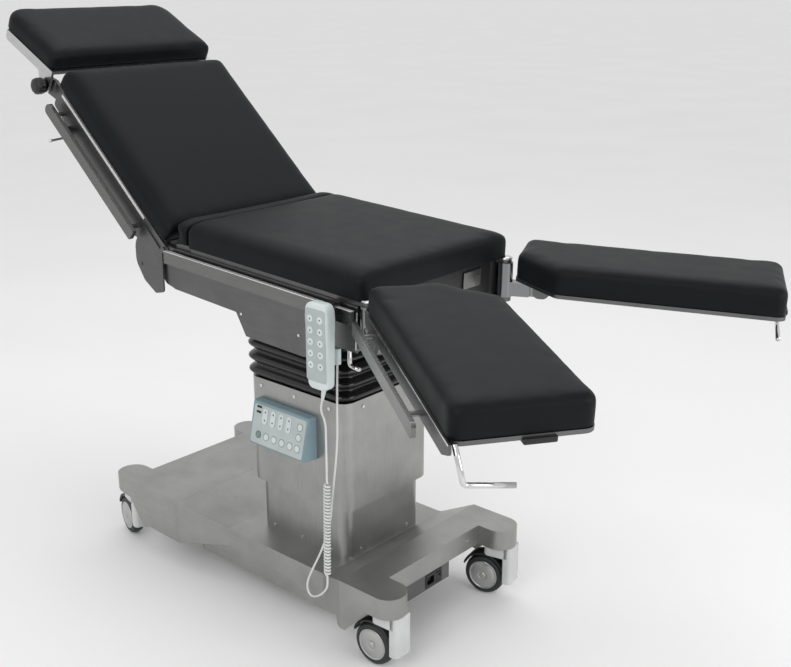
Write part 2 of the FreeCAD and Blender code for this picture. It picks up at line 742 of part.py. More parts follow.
def leg_post(name):
    """Chrome post with the arm and eye of the leg's pitch hinge."""
    u, n = LEG_PITCH_UN
    post = rod((0, 0, -77), (0, 0, 1), POST_R)
    arm = slab_xz([(0, -74), (58, -74, 4), (58, -46, 8), (0, -40)], -13, 13)
    tongue = slab_xz([(40, n - 13), (u + 14, n - 14, 13.5), (u + 14, n + 14, 13.5), (40, n + 14)], -8, 8)
    body = fuse([post, arm, tongue])
    bore = rod((0, 0, -90), (0, 0, 10), POST_PIN_R + RUN)
    eye = rod((u, -20, n), (u, 20, n), LEG_PIN_R + RUN)
    return on_post(cut(body, [bore, eye]), name)


def leg_outline(inset):
    v0, v1 = LEG_V
    return [(38 + inset, v1 - inset, 10), (LEG_LENGTH - inset, v1 - inset, 22),
            (LEG_LENGTH - inset, v0 + inset, 22), (138 + inset, v0 + inset, 20), (38 + inset, v0 + 104 + inset, 20)]


def leg_frame(name):
    """Pad plate, side plate, lugs and pin of a leg section."""
    u, n = LEG_PITCH_UN
    plate = slab_xy(leg_outline(3.0), -8, 0)
    side = slab_xz([(34, 0), (LEG_LENGTH + 8, 0, 6), (LEG_LENGTH + 8, -16, 8), (560, -33, 10), (34, -31, 10)],
                   LEG_V[1] - 4, LEG_V[1])
    pieces = [plate, side, rod((u, -20, n), (u, 20, n), LEG_PIN_R)]
    for v0, v1 in ((8 + GAP, LEG_V[1]), (-20, -8 - GAP)):
        pieces.append(slab_xz([(u - 14, n - 14, 13.5), (u + 14, n - 14, 13.5), (150, -12), (150, -6), (u - 14, -6)],
                              v0, v1))
    pieces.append(box(112, 150, -20, LEG_V[1], -30, -6))
    return on_leg(fuse(pieces).cut(handle_bore()), name)


HANDLE_R = 4.75
HANDLE_U = LEG_LENGTH - 2


def handle_bore():
    return rod((HANDLE_U, 5, 3), (HANDLE_U, 5, -40), HANDLE_R + RUN)


def leg_rail(name):
    """Flat accessory rail beside the leg section on two stand-offs."""
    bar = slab_xz([(45, -15, 2), (488, -15, 8), (488, -43, 8), (45, -43, 2)], 36, 44)
    posts = [rod((u, LEG_V[1], -22), (u, 36, -22), 5.0) for u in (112, 440)]
    return on_leg(fuse([bar] + posts), name)


def leg_pad(name):
    return on_leg(slab_xy(leg_outline(0.0), 0, LEG_PAD_H), name)


def leg_handle(name):
    """Bent release rod hanging from the foot end of the leg section."""
    down = rod((HANDLE_U, 5, -2), (HANDLE_U, 5, -62), HANDLE_R)
    bend = Part.makeSphere(HANDLE_R, vec(HANDLE_U, 5, -62))
    across = rod((HANDLE_U, 5, -62), (HANDLE_U, -83, -62), HANDLE_R)
    return on_leg(fuse([down, bend, across]), name)


# handset, hook and cord

PENDANT_X = (203.0, 267.0)
PENDANT_Y = (-304.0, -278.0)
PENDANT_Z = (652.0, 832.0)


def pendant():
    """Handset hanging beside the near rail."""
    x0, x1 = PENDANT_X
    z0, z1 = PENDANT_Z
    body = slab_xz([(x0 + 6, z0, 14), (x1 - 6, z0, 14), (x1, z1 - 30, 30), (x1 - 3, z1, 16), (x0 + 3, z1, 16),
                    (x0, z1 - 30, 30)], PENDANT_Y[0], PENDANT_Y[1])
    return body


def pendant_keys():
    """Two rows of five raised keys on the handset."""
    keys = []
    for row in range(5):
        for x in (221, 248):
            z = 800 - 24 * row
            keys.append(rod((x, PENDANT_Y[0], z), (x, PENDANT_Y[0] - 1.2, z), 7.5))
    return Part.makeCompound(keys)


def pendant_hook():
    """Bent hook from the back of the handset over the near rail."""
    plate = box(222, 248, PENDANT_Y[1], PENDANT_Y[1] + 4, 770, 826)
    arm = box(222, 248, PENDANT_Y[1], -RAIL_Y[0] + 3, 822, 826)
    lip = box(222, 248, -RAIL_Y[0] + 0.3, -RAIL_Y[0] + 3, 806, 826)
    return fuse([plate, arm, lip])


RELIEF_TOP = (241.5, CORD_Y, PENDANT_Z[0] - 1.1)
RELIEF_END = (236.5, CORD_Y, 627.0)
LEAD_POINTS = [RELIEF_END, (228.0, CORD_Y, 607.0), (244.5, CORD_Y, 582.0), (244.5, CORD_Y, COIL_Z[0])]
RETURN_POINTS = [
    (240.0, CORD_Y, COIL_Z[1]), (240.0, CORD_Y, 198.0), (212.0, CORD_Y, 168.0), (184.0, -289.0, 157.0),
    (171.0, -287.0, 181.0), (188.0, -284.0, 222.0), (213.0, -278.0, 275.0), (233.0, -272.0, 338.0),
    (236.0, -267.0, 402.0), (241.0, -262.0, 464.0), (244.0, -257.0, 526.0), (236.0, -248.0, 590.0),
    (229.0, -240.0, 640.0), (227.0, -236.0, 688.0)]
CONNECTOR = ((227.0, -236.0, 688.0), (227.0, -236.0, 722.0))


def cord_run(points, diameter):
    """Round cord along straight runs joined by tangent arcs."""
    path = [vec(*p) for p in points]
    edges = []
    start = path[0]
    for i in range(1, len(path) - 1):
        back = path[i - 1] - path[i]
        ahead = path[i + 1] - path[i]
        shorter = min(back.Length, ahead.Length)
        back.normalize()
        ahead.normalize()
        half_turn = (math.pi - back.getAngle(ahead)) / 2
        reach = 0.45 * shorter
        radius = reach / math.tan(half_turn)
        print("cord bend", i, "radius", round(radius, 1), "turn", round(math.degrees(2 * half_turn), 1))
        first = path[i] + back * reach
        last = path[i] + ahead * reach
        bisector = back + ahead
        bisector.normalize()
        middle = path[i] + bisector * (radius / math.cos(half_turn) - radius)
        edges.append(Part.LineSegment(start, first).toShape())
        edges.append(Part.Arc(first, middle, last).toShape())
        start = last
    edges.append(Part.LineSegment(start, path[-1]).toShape())
    wire = Part.Wire(edges)
    circle = Part.Wire(Part.makeCircle(diameter / 2, path[0], path[1] - path[0]))
    tube = wire.makePipeShell([circle], True, False)
    expected = math.pi * diameter ** 2 / 4 * wire.Length
    print("cord length", round(wire.Length, 1), "volume ratio", round(tube.Volume / expected, 4))
    return tube


def cord_ends():
    """Plain cord from the handset to the coil and from the coil to the connector."""
    return Part.makeCompound([cord_run(LEAD_POINTS, CORD_D), cord_run(RETURN_POINTS, CORD_D)])


def cord_coil():
    """Curly part of the cord as one tube of its outer size."""
    return rod((LEAD_POINTS[-1][0], CORD_Y, COIL_Z[0]), (RETURN_POINTS[0][0], CORD_Y, COIL_Z[1]), COIL_D / 2)


def pendant_relief():
    """Tapered strain relief below the handset."""
    a = vec(*RELIEF_TOP)
    b = vec(*RELIEF_END)
    return Part.makeCone(5.5, 3.6, (b - a).Length, a, b - a)


def cord_connector():
    """Round connector of the cord under the near side of the seat."""
    a, b = CONNECTOR
    return rod(a, b, 8.0)


def build():
    """All sub-parts by name."""
    parts = {
        "base_casing": base_casing(), "base_chassis": base_chassis(), "column_casing": column_casing(),
        "lift_cylinder": lift_cylinder(), "inlet_box": inlet_box(), "inlet_socket": inlet_socket(),
        "base_screws": base_screws(), "mains_switch": mains_switch(),
        "column_sleeve": column_sleeve(), "lift_ram": lift_ram(), "cardan_base": cardan_base(),
        "control_panel": control_panel(), "panel_keys": panel_keys(), "bellows": bellows(),
        "sleeve_screws": sleeve_screws(), "cardan_cross": cardan_cross(),
        "seat_frame": seat_frame(), "side_covers": side_covers(), "seat_rails": seat_rails(),
        "seat_pad": seat_pad(), "pendant": pendant(), "pendant_keys": pendant_keys(),
        "pendant_hook": pendant_hook(), "pendant_relief": pendant_relief(), "cord_coil": cord_coil(),
        "cord_ends": cord_ends(), "cord_connector": cord_connector(),
        "kidney_bridge": kidney_bridge(), "kidney_pad": kidney_pad(),
        "back_frame": back_frame(), "back_rails": back_rails(), "back_pad": back_pad(),
        "hinge_covers": hinge_covers(), "back_lever": back_lever(),
        "head_frame": head_frame(), "head_pad": head_pad(), "head_knob": head_knob(),
    }
    for name in CASTER_XY:
        parts["caster_fork_" + name] = caster_fork(name)
        parts["caster_tyre_" + name] = caster_tyre(name)
        parts["caster_disc_" + name] = caster_disc(name)
    for name in ("near", "far"):
        parts["leg_post_" + name] = leg_post(name)
        parts["leg_frame_" + name] = leg_frame(name)
        parts["leg_rail_" + name] = leg_rail(name)
        parts["leg_pad_" + name] = leg_pad(name)
        parts["leg_handle_" + name] = leg_handle(name)
    return parts


os.makedirs("parts", exist_ok=True)
for node, shape in build().items():
    if not shape.isValid():
        print("not valid:", node)
    shape.exportStep("parts/" + node + ".step")
    print(node, len(shape.Solids), round(shape.Volume / 1000.0, 1))
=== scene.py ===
# %% [markdown]
# # An operating table in brushed steel and black vinyl
# The imported CAD model is loaded first and kept as a fixed frame. Every piece made here, save the bellows,
# rides on one of its bodies, so the table can be posed later. Surfaces are worked out with numpy in each
# section's own flat coordinates and are then turned into place by one matrix.

# %% Load the frame
import math

import bmesh
import bpy
import numpy as np
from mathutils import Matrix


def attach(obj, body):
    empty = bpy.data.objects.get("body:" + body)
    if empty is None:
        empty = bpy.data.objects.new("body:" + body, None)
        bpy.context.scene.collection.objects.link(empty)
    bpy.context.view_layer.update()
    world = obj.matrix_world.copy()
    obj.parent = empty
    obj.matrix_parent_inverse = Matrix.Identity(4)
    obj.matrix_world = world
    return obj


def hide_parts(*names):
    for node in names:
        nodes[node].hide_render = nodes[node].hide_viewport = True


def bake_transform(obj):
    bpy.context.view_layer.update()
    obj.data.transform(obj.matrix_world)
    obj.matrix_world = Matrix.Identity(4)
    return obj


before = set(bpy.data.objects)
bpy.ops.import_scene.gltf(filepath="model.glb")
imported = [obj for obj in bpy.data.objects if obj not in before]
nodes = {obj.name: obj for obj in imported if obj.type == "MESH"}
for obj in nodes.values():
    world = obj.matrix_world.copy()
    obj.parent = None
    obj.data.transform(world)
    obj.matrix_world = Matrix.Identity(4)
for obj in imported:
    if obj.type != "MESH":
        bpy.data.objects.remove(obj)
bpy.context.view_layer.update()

# %% [markdown]
# ## Camera
# The camera stands where the photograph was taken: 41 degrees to the right of the table's long side
# and 18 degrees above the horizon. The focal length is given in picture widths, which keeps it free
# of the render's resolution.

# %% Camera
PICTURE_WIDTH_PX = 791.0
FOCAL_PX = 1118.0
CAMERA_PLACE = (1.728, -1.760, 1.455)
CAMERA_AZIMUTH = math.radians(41.4)
CAMERA_ELEVATION = math.radians(18.2)

camera_data = bpy.data.cameras.new("studio_camera")
camera_data.sensor_width = 36.0
camera_data.lens = FOCAL_PX / PICTURE_WIDTH_PX * camera_data.sensor_width
camera_data.clip_end = 60.0
camera = bpy.data.objects.new("studio_camera", camera_data)
camera.location = CAMERA_PLACE
camera.rotation_euler = (math.pi / 2 - CAMERA_ELEVATION, 0.0, CAMERA_AZIMUTH)
bpy.context.collection.objects.link(camera)
bpy.context.scene.camera = camera
print("lens in mm:", round(camera_data.lens, 2))

# %% [markdown]
# ## Places of the sections
# The seat is tilted about the middle of the column, the back hangs on the seat, the head on the back,
# and each leg on its own post. One 4 x 4 matrix per section says the same as the CAD source does. The
# near side is the far side mirrored, which is a matrix too.

# %% Section matrices
def ry(degrees):
    """Turn about Y."""
    c, s = math.cos(math.radians(degrees)), math.sin(math.radians(degrees))
    return np.array([[c, 0, s, 0], [0, 1, 0, 0], [-s, 0, c, 0], [0, 0, 0, 1.0]])


def rz(degrees):
    """Turn about Z."""
    c, s = math.cos(math.radians(degrees)), math.sin(math.radians(degrees))
    return np.array([[c, -s, 0, 0], [s, c, 0, 0], [0, 0, 1, 0], [0, 0, 0, 1.0]])


def move(x, y, z):
    """Shift by x, y, z in metres."""
    m = np.eye(4)
    m[:3, 3] = (x, y, z)
    return m


def tilted(degrees):
    """Tilt about the middle of the cardan joint."""
    return move(0, 0, TILT_Z) @ ry(degrees) @ move(0, 0, -TILT_Z)


def leg(post, pitch):
    """Frame of a leg section, pitched about the hinge on its post."""
    return post @ move(0.080, 0, -0.060) @ ry(pitch) @ move(-0.080, 0, 0.060)


TILT_Z = 0.650
SEAT_TILT = 2.5
WORLD = np.eye(4)
MIRROR = np.diag([1.0, -1.0, 1.0, 1.0])
SEAT = tilted(SEAT_TILT)
BACK = SEAT @ move(-0.324, 0, 0.824) @ ry(39.0)
HEAD = BACK @ move(-0.547, 0, -0.029) @ ry(-14.5)
POST_PLACE = move(0.306, 0.226, 0.824)
POSTS = {"near": MIRROR @ POST_PLACE @ rz(34.5), "far": POST_PLACE @ rz(26.0)}
LEGS = {"near": leg(POSTS["near"], 4.2), "far": leg(POSTS["far"], 1.7)}
CASTERS = {
    "FL": move(0.333, 0.200, 0) @ rz(12.0),
    "FR": move(0.333, -0.200, 0) @ rz(2.0),
    "RL": move(-0.568, 0.200, 0) @ rz(-8.0),
    "RR": move(-0.568, -0.200, 0) @ rz(-15.0),
}
print("head hinge at", (HEAD @ np.array([0, 0, 0, 1.0]))[:3].round(3))

# %% [markdown]
# ## Making meshes from arrays
# A grid of points, rows by columns, becomes a skin of quads. Columns may close on themselves, as
# round a tube, and the two ends are closed with one flat face each. Outlines with rounded corners are
# straight runs and circular arcs, as a draughtsman draws them.

# %% Mesh helpers
def carried(points, matrix):
    """Points (n, 3) turned and shifted by a 4 x 4 matrix."""
    return points @ matrix[:3, :3].T + matrix[:3, 3]


def linked(name, data):
    """New object that shows the data."""
    obj = bpy.data.objects.new(name, data)
    bpy.context.collection.objects.link(obj)
    return obj


def mesh_points(mesh):
    """The mesh's points as an array (n, 3)."""
    points = np.empty(len(mesh.vertices) * 3)
    mesh.vertices.foreach_get("co", points)
    return points.reshape(-1, 3)


def mesh_piece(name, points, faces, matrix=WORLD, smooth=True):
    """Object from points and faces. A mirroring matrix turns every face round, so normals stay out."""
    placed = carried(np.asarray(points, float).reshape(-1, 3), matrix)
    if np.linalg.det(matrix[:3, :3]) < 0:
        faces = [tuple(reversed(face)) for face in faces]
    mesh = bpy.data.meshes.new(name)
    mesh.from_pydata(placed.tolist(), [], faces)
    mesh.polygons.foreach_set("use_smooth", np.full(len(mesh.polygons), smooth))
    mesh.update()
    return linked(name, mesh)


def skin_faces(rows, columns, caps=True):
    """Quads between neighbouring rows of closed rings, with one flat face at each end."""
    i, j = np.meshgrid(np.arange(rows - 1), np.arange(columns), indexing="ij")
    k = (j + 1) % columns
    quads = np.stack([i * columns + j, i * columns + k, (i + 1) * columns + k, (i + 1) * columns + j], -1)
    faces = [tuple(q) for q in quads.reshape(-1, 4).tolist()]
    if caps:
        faces.append(tuple(range(columns - 1, -1, -1)))
        faces.append(tuple(range((rows - 1) * columns, rows * columns)))
    return faces


def skin(name, rings, matrix=WORLD, caps=True):
    """Object whose surface runs over a stack of closed rings."""
    rings = np.asarray(rings)
    return mesh_piece(name, rings, skin_faces(rings.shape[0], rings.shape[1], caps), matrix)


def corner_arc(p, before, after, radius, steps):
    """Points of the arc that rounds the corner at p. Its centre lies on the line that halves the angle
    between the two neighbours, and it swings from one touching point to the other."""
    before, after = before / np.linalg.norm(before), after / np.linalg.norm(after)
    half = 0.5 * math.acos(np.clip(before @ after, -1, 1))
    middle = (before + after) / np.linalg.norm(before + after)
    centre = p + middle * radius / math.sin(half)
    start = p + before * radius / math.tan(half) - centre
    end = p + after * radius / math.tan(half) - centre
    t = np.linspace(0, 1, steps)[:, None]
    sweep = math.acos(np.clip(start @ end / radius ** 2, -1, 1))
    swing = start * np.sin((1 - t) * sweep) + end * np.sin(t * sweep)
    return centre + swing / math.sin(sweep)


def rounded_outline(corners, arc_steps=8):
    """Closed outline, anticlockwise: each corner (a, b, r) is an arc of radius r touching both sides."""
    xy = np.array([c[:2] for c in corners], float)
    radii = [c[2] if len(c) > 2 else 0.0 for c in corners]
    pieces = []
    for k, radius in enumerate(radii):
        p, before, after = xy[k], xy[k - 1] - xy[k], xy[(k + 1) % len(xy)] - xy[k]
        pieces.append(corner_arc(p, before, after, radius, arc_steps + 1) if radius > 0 else p[None])
    return np.vstack(pieces)


def rectangle(a0, a1, b0, b1, r=0.0):
    """Corners of a rectangle, anticlockwise, each with the same radius."""
    return [(a0, b0, r), (a1, b0, r), (a1, b1, r), (a0, b1, r)]


def inset_rings(outline, levels):
    """Rings of a slab: the outline moved inwards by each level's inset, at that level's height."""
    step = np.roll(outline, -1, 0) - outline
    step /= np.linalg.norm(step, axis=1, keepdims=True)
    normal = np.stack([step[:, 1], -step[:, 0]], -1)
    joint = normal + np.roll(normal, 1, 0)
    joint /= np.maximum((joint * normal).sum(1, keepdims=True), 0.2)
    insets = np.array([level[0] for level in levels])[:, None, None]
    heights = np.array([level[1] for level in levels])[:, None, None]
    flat = outline[None] - joint[None] * insets
    return np.concatenate([flat, np.broadcast_to(heights, flat.shape[:2] + (1,))], -1)


def rounded_levels(low, high, r_low, r_high, steps=5):
    """Side profile of a slab: a quarter circle at the bottom edge, a wall, and one at the top edge."""
    t = np.linspace(0, math.pi / 2, steps)
    bottom = [(r_low * (1 - math.sin(a)), low + r_low * (1 - math.cos(a))) for a in t]
    top = [(r_high * (1 - math.cos(a)), high - r_high * (1 - math.sin(a))) for a in t]
    return bottom + top


def slab(name, corners, low, high, edge, matrix=WORLD, arc_steps=8, edge_low=None):
    """Plate with a rounded outline and rounded edges, lying flat in its section."""
    outline = rounded_outline(corners, arc_steps)
    rings = inset_rings(outline, rounded_levels(low, high, edge if edge_low is None else edge_low, edge))
    return skin(name, rings, matrix)


def upright(matrix):
    """Matrix that stands a flat slab on edge: its a and b become X and Z, its height becomes -Y."""
    return matrix @ np.array([[1, 0, 0, 0], [0, 0, -1, 0], [0, 1, 0, 0], [0, 0, 0, 1.0]])


def lathe(name, profile, matrix, steps=64, hollow=False):
    """Turned piece: a profile of (radius, height) carried round the Z axis. A hollow one is a ring whose
    profile closes on itself."""
    r, h = np.array(profile + profile[:1] if hollow else profile, float).T
    t = np.linspace(0, 2 * math.pi, steps, endpoint=False)
    height = np.broadcast_to(h[:, None], (len(r), steps))
    rings = np.stack([r[:, None] * np.cos(t), r[:, None] * np.sin(t), height], -1)
    faces = skin_faces(len(r), steps, caps=not hollow)
    if hollow:
        last = (len(r) - 1) * steps
        faces = [tuple(v - last if v >= last else v for v in face) for face in faces]
        rings = rings[:-1]
    return mesh_piece(name, rings, faces, matrix)


def tube(name, path, radius, matrix=WORLD, sides=20):
    """Round bar along a list of points: a circle carried square to the path, with flat ends."""
    path = np.asarray(path, float)
    along = np.gradient(path, axis=0)
    along /= np.linalg.norm(along, axis=1, keepdims=True)
    spans = path[1:] - path[:-1]
    plane = np.cross(spans[0], spans[-1])
    side = plane if np.linalg.norm(plane) > 1e-9 else np.cross(along[0], [0.3, 0.5, 0.81])
    side = side / np.linalg.norm(side)
    other = np.cross(along, side)
    other /= np.linalg.norm(other, axis=1, keepdims=True)
    t = np.linspace(0, 2 * math.pi, sides, endpoint=False)
    around = np.cos(t)[None, :, None] * side + np.sin(t)[None, :, None] * other[:, None]
    obj = skin(name, path[:, None] + radius * around, matrix)
    repair_normals(obj)
    return obj


def repair_normals(obj):
    """Turns all faces of a closed mesh outwards."""
    bm = bmesh.new()
    bm.from_mesh(obj.data)
    bmesh.ops.recalc_face_normals(bm, faces=bm.faces)
    bm.to_mesh(obj.data)
    bm.free()


def bevel(obj, width, segments):
    """Rounds the sharp edges, so that they catch a line of light as folded sheet does."""
    mod = obj.modifiers.new("edge", "BEVEL")
    mod.width = width
    mod.segments = segments
    mod.limit_method = "ANGLE"
    mod.angle_limit = math.radians(32)
    mod.harden_normals = False


print("mesh helpers ready")

# %% [markdown]
# ## Colours and the node helper
# Colours are written as sRGB hex values and turned to linear light by one function. A second one adds
# a shader node with its settings and its links, so each material below reads as a short recipe.

# %% Material helpers
def linear(hex_colour):
    """sRGB hex colour as linear RGBA."""
    srgb = np.array([int(hex_colour[i:i + 2], 16) for i in (1, 3, 5)]) / 255.0
    light = np.where(srgb <= 0.04045, srgb / 12.92, ((srgb + 0.055) / 1.055) ** 2.4)
    return (*light.tolist(), 1.0)


def add(tree, kind, settings=None, **links):
    """One node: settings set its properties or sockets by name, links join named inputs to outputs."""
    node = tree.nodes.new(kind)
    for key, value in (settings or {}).items():
        if hasattr(node, key):
            setattr(node, key, value)
        else:
            node.inputs[key].default_value = value
    for key, output in links.items():
        tree.links.new(output, node.inputs[key.replace("_", " ")])
    return node


def new_material(name):
    """Empty node material, its tree and the object's own coordinates."""
    material = bpy.data.materials.new(name)
    material.use_nodes = True
    tree = material.node_tree
    tree.nodes.clear()
    return material, tree, add(tree, "ShaderNodeTexCoord").outputs["Object"]


def surface(tree, settings, **links):
    """Principled shader with its settings and links, joined to the material's output."""
    shader = add(tree, "ShaderNodeBsdfPrincipled", settings, **links)
    add(tree, "ShaderNodeOutputMaterial", None, Surface=shader.outputs[0])


def noise(tree, place, scale, detail, roughness=0.5):
    """Noise at a place, as a factor of 0 to 1."""
    settings = {"Scale": scale, "Detail": detail, "Roughness": roughness}
    return add(tree, "ShaderNodeTexNoise", settings, Vector=place).outputs["Fac"]


def between(tree, factor, low, high):
    """A factor of 0 to 1 spread between two values."""
    return add(tree, "ShaderNodeMapRange", {"To Min": low, "To Max": high}, Value=factor).outputs["Result"]


def bumped(tree, height, strength, depth, **links):
    """Normals of small heights and hollows."""
    settings = {"Strength": strength, "Distance": depth}
    return add(tree, "ShaderNodeBump", settings, Height=height, **links).outputs["Normal"]


def ramp(tree, factor, low, high, start=0.3, end=0.7):
    """Colour ramp between two colours or greys over a stretch of its factor."""
    node = add(tree, "ShaderNodeValToRGB", None, Fac=factor)
    node.color_ramp.elements[0].position = start
    node.color_ramp.elements[1].position = end
    node.color_ramp.elements[0].color = low
    node.color_ramp.elements[1].color = high
    return node.outputs["Color"]


def drifting(tree, factor, tone, share):
    """Colour that drifts by a share of itself to either side."""
    base = np.array(linear(tone)[:3])
    return ramp(tree, factor, (*(base * (1 - share)), 1.0), (*(base * (1 + share)), 1.0))


def grey(value):
    """Linear grey as RGBA."""
    return (value, value, value, 1.0)


print("material helpers ready")

# %% [markdown]
# ## Materials
# Each one starts from what the real surface is and how it was made, save a few steel tones that are
# painted darker or brighter to stand in for reflections and highlights. Pattern scales are worked out
# from millimetres: a noise scale of 1000 / d has features about d millimetres wide.

# %% Brushed stainless steel
def brushed_steel(name, tone, along, rough=0.34, cloud=0.10):
    """Brushed sheet steel: fine streaks run along one axis, with cloudy patches from hand cleaning."""
    material, tree, place = new_material(name)
    # streaks 0.9 mm apart, about 60 mm long; the real grain is finer than a render pixel
    stretch = [1.0 / 0.0009] * 3
    stretch["XYZ".index(along)] = 1.0 / 0.060
    mapped = add(tree, "ShaderNodeMapping", {"Scale": stretch}, Vector=place)
    streak = noise(tree, mapped.outputs["Vector"], 1.0, 3.0, 0.6)
    # patches about 90 mm across from polishing and wiping
    patch = noise(tree, place, 11.0, 4.0, 0.55)
    colour = add(tree, "ShaderNodeMix", {"data_type": "RGBA", "blend_type": "MULTIPLY"})
    colour.inputs[0].default_value = 1.0
    tree.links.new(drifting(tree, patch, tone, cloud), colour.inputs[6])
    tree.links.new(ramp(tree, streak, grey(0.86), grey(1.0), 0.35, 0.65), colour.inputs[7])
    surface(tree, {"Metallic": 1.0}, Base_Color=colour.outputs[2],
            Roughness=between(tree, streak, rough - 0.05, rough + 0.08),
            Normal=bumped(tree, streak, 0.10, 0.0002))
    return material


SHEET_STEEL = brushed_steel("brushed_stainless_sheet", "#a4a4a2", "X", rough=0.38)
COLUMN_STEEL = brushed_steel("brushed_stainless_column", "#a6a6a4", "Z", rough=0.36)
FRAME_STEEL = brushed_steel("dark_brushed_frame_steel", "#6e6e6e", "X", rough=0.36)
# the rails' dark tone is a painted reflection: it stands in for the dark floor and shade that their polished
# faces mirror
RAIL_STEEL = brushed_steel("polished_rail_bar", "#7c7c7b", "X", rough=0.26, cloud=0.05)
# polished steel of the head frame, and also the painted highlight strips along the legs' inner edges
BRIGHT_STEEL = brushed_steel("polished_head_frame_and_painted_highlight", "#d4d4d4", "X", rough=0.20, cloud=0.04)
# near-white steel for painted highlights: thin strips that stand in for the lines of light along edges
PAINTED_HIGHLIGHT_STEEL = brushed_steel("painted_highlight_strip", "#f2f2f2", "X", rough=0.50, cloud=0.03)
print("steels:", SHEET_STEEL.name, COLUMN_STEEL.name, FRAME_STEEL.name, RAIL_STEEL.name)

# %% Chrome and cast metal
def plated(name, tone, rough, scale_mm, depth):
    """Plated or cast metal: mirror-like to satin, with faint waviness of a given size."""
    material, tree, place = new_material(name)
    wave = noise(tree, place, 1000.0 / scale_mm, 2.0)
    surface(tree, {"Base Color": linear(tone), "Metallic": 1.0},
            Roughness=between(tree, wave, rough * 0.8, rough * 1.25), Normal=bumped(tree, wave, 0.15, depth))
    return material


CHROME = plated("chrome_plate", "#cfcfcf", 0.12, 14.0, 0.0002)
# darker than CHROME: a painted dark reflection, the tone stands in for the dark surroundings that the posts
# mirror
POST_CHROME = plated("post_chrome_painted_dark_reflection", "#808182", 0.16, 10.0, 0.0003)
DISC_METAL = plated("satin_zinc_wheel_disc", "#b9b9b8", 0.30, 9.0, 0.0003)
CASTING = plated("cast_aluminium", "#8e9092", 0.50, 2.5, 0.0004)
print("metals:", CHROME.name, DISC_METAL.name, CASTING.name)

# %% Vinyl upholstery
def vinyl(name, tone, sheen_tone):
    """Coated fabric with a fine leather grain about 1.4 mm wide, slightly satin."""
    material, tree, place = new_material(name)
    cells = add(tree, "ShaderNodeTexVoronoi", {"Scale": 1000.0 / 1.4, "feature": "DISTANCE_TO_EDGE"},
                Vector=place)
    soft = noise(tree, place, 1000.0 / 45.0, 3.0)
    grain = bumped(tree, cells.outputs["Distance"], 0.22, 0.0002)
    surface(tree, {"IOR": 1.46, "Sheen Weight": 0.02, "Sheen Roughness": 0.45, "Specular IOR Level": 0.16},
            Base_Color=ramp(tree, soft, linear(tone), linear(sheen_tone)),
            Roughness=between(tree, soft, 0.46, 0.60), Normal=bumped(tree, soft, 0.10, 0.002, Normal=grain))
    return material


VINYL = vinyl("black_vinyl_upholstery", "#070b0d", "#0c1214")
print("upholstery:", VINYL.name)

# %% Rubber and plastics
def moulded(name, tone, rough, grain_mm, depth, ior=1.5, tint=0.06):
    """Moulded rubber or plastic with a fine spark-eroded grain and slight colour drift."""
    material, tree, place = new_material(name)
    grain = noise(tree, place, 1000.0 / grain_mm, 2.0)
    drift = noise(tree, place, 1000.0 / 60.0, 2.0)
    surface(tree, {"IOR": ior}, Base_Color=drifting(tree, drift, tone, tint),
            Roughness=between(tree, drift, rough - 0.04, rough + 0.06),
            Normal=bumped(tree, grain, 0.2, depth))
    return material


BELLOWS_RUBBER = moulded("black_bellows_rubber", "#08080a", 0.20, 3.0, 0.0002, 1.52)
TYRE_RUBBER = moulded("dark_grey_tyre_rubber", "#1d2124", 0.55, 1.2, 0.0003, 1.52)
BLACK_ABS = moulded("black_abs", "#0d0d0e", 0.38, 0.8, 0.0001)
YOKE_ABS = moulded("pale_grey_caster_housing", "#c3c4c4", 0.42, 0.9, 0.0001)
PANEL_ABS = moulded("blue_grey_abs", "#7d939c", 0.42, 0.9, 0.0001)
PANEL_FILM = moulded("pale_keypad_film", "#aeb7b6", 0.34, 0.6, 0.00005)
HANDSET_ABS = moulded("pale_green_grey_abs", "#c6d0cf", 0.36, 0.9, 0.0001)
HANDSET_FILM = moulded("handset_keypad_film", "#a3abab", 0.36, 0.6, 0.00005)
KEY_INK = moulded("dark_key_print", "#3b4244", 0.40, 0.6, 0.00003)
KEY_GREEN = moulded("grey_green_key_print", "#6f8580", 0.40, 0.6, 0.00003)
DISPLAY = moulded("dark_display_window", "#15181a", 0.18, 2.0, 0.00002)
CORD_PVC = moulded("white_pvc_cord", "#c9cbca", 0.40, 0.8, 0.00008)
print("plastics ready")

# %% [markdown]
# ## Finishing the CAD nodes
# A CAD node whose form is right stays. It gets a material, and a bevel where the real sheet has a
# folded or broken edge.

# %% Finish helper
def finish_node(name, material, width, segments):
    """Gives a CAD node its material and, where width is above zero, rounded edges."""
    obj = nodes[name]
    obj.data.materials.clear()
    obj.data.materials.append(material)
    if width > 0:
        bevel(obj, width, segments)


def dress(obj, material, body, slot, *replaced):
    """Material, body and the nodes that a new piece stands for. The slot argument is not used."""
    obj.data.materials.clear()
    obj.data.materials.append(material)
    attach(obj, body)
    if replaced:
        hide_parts(*replaced)
    return obj


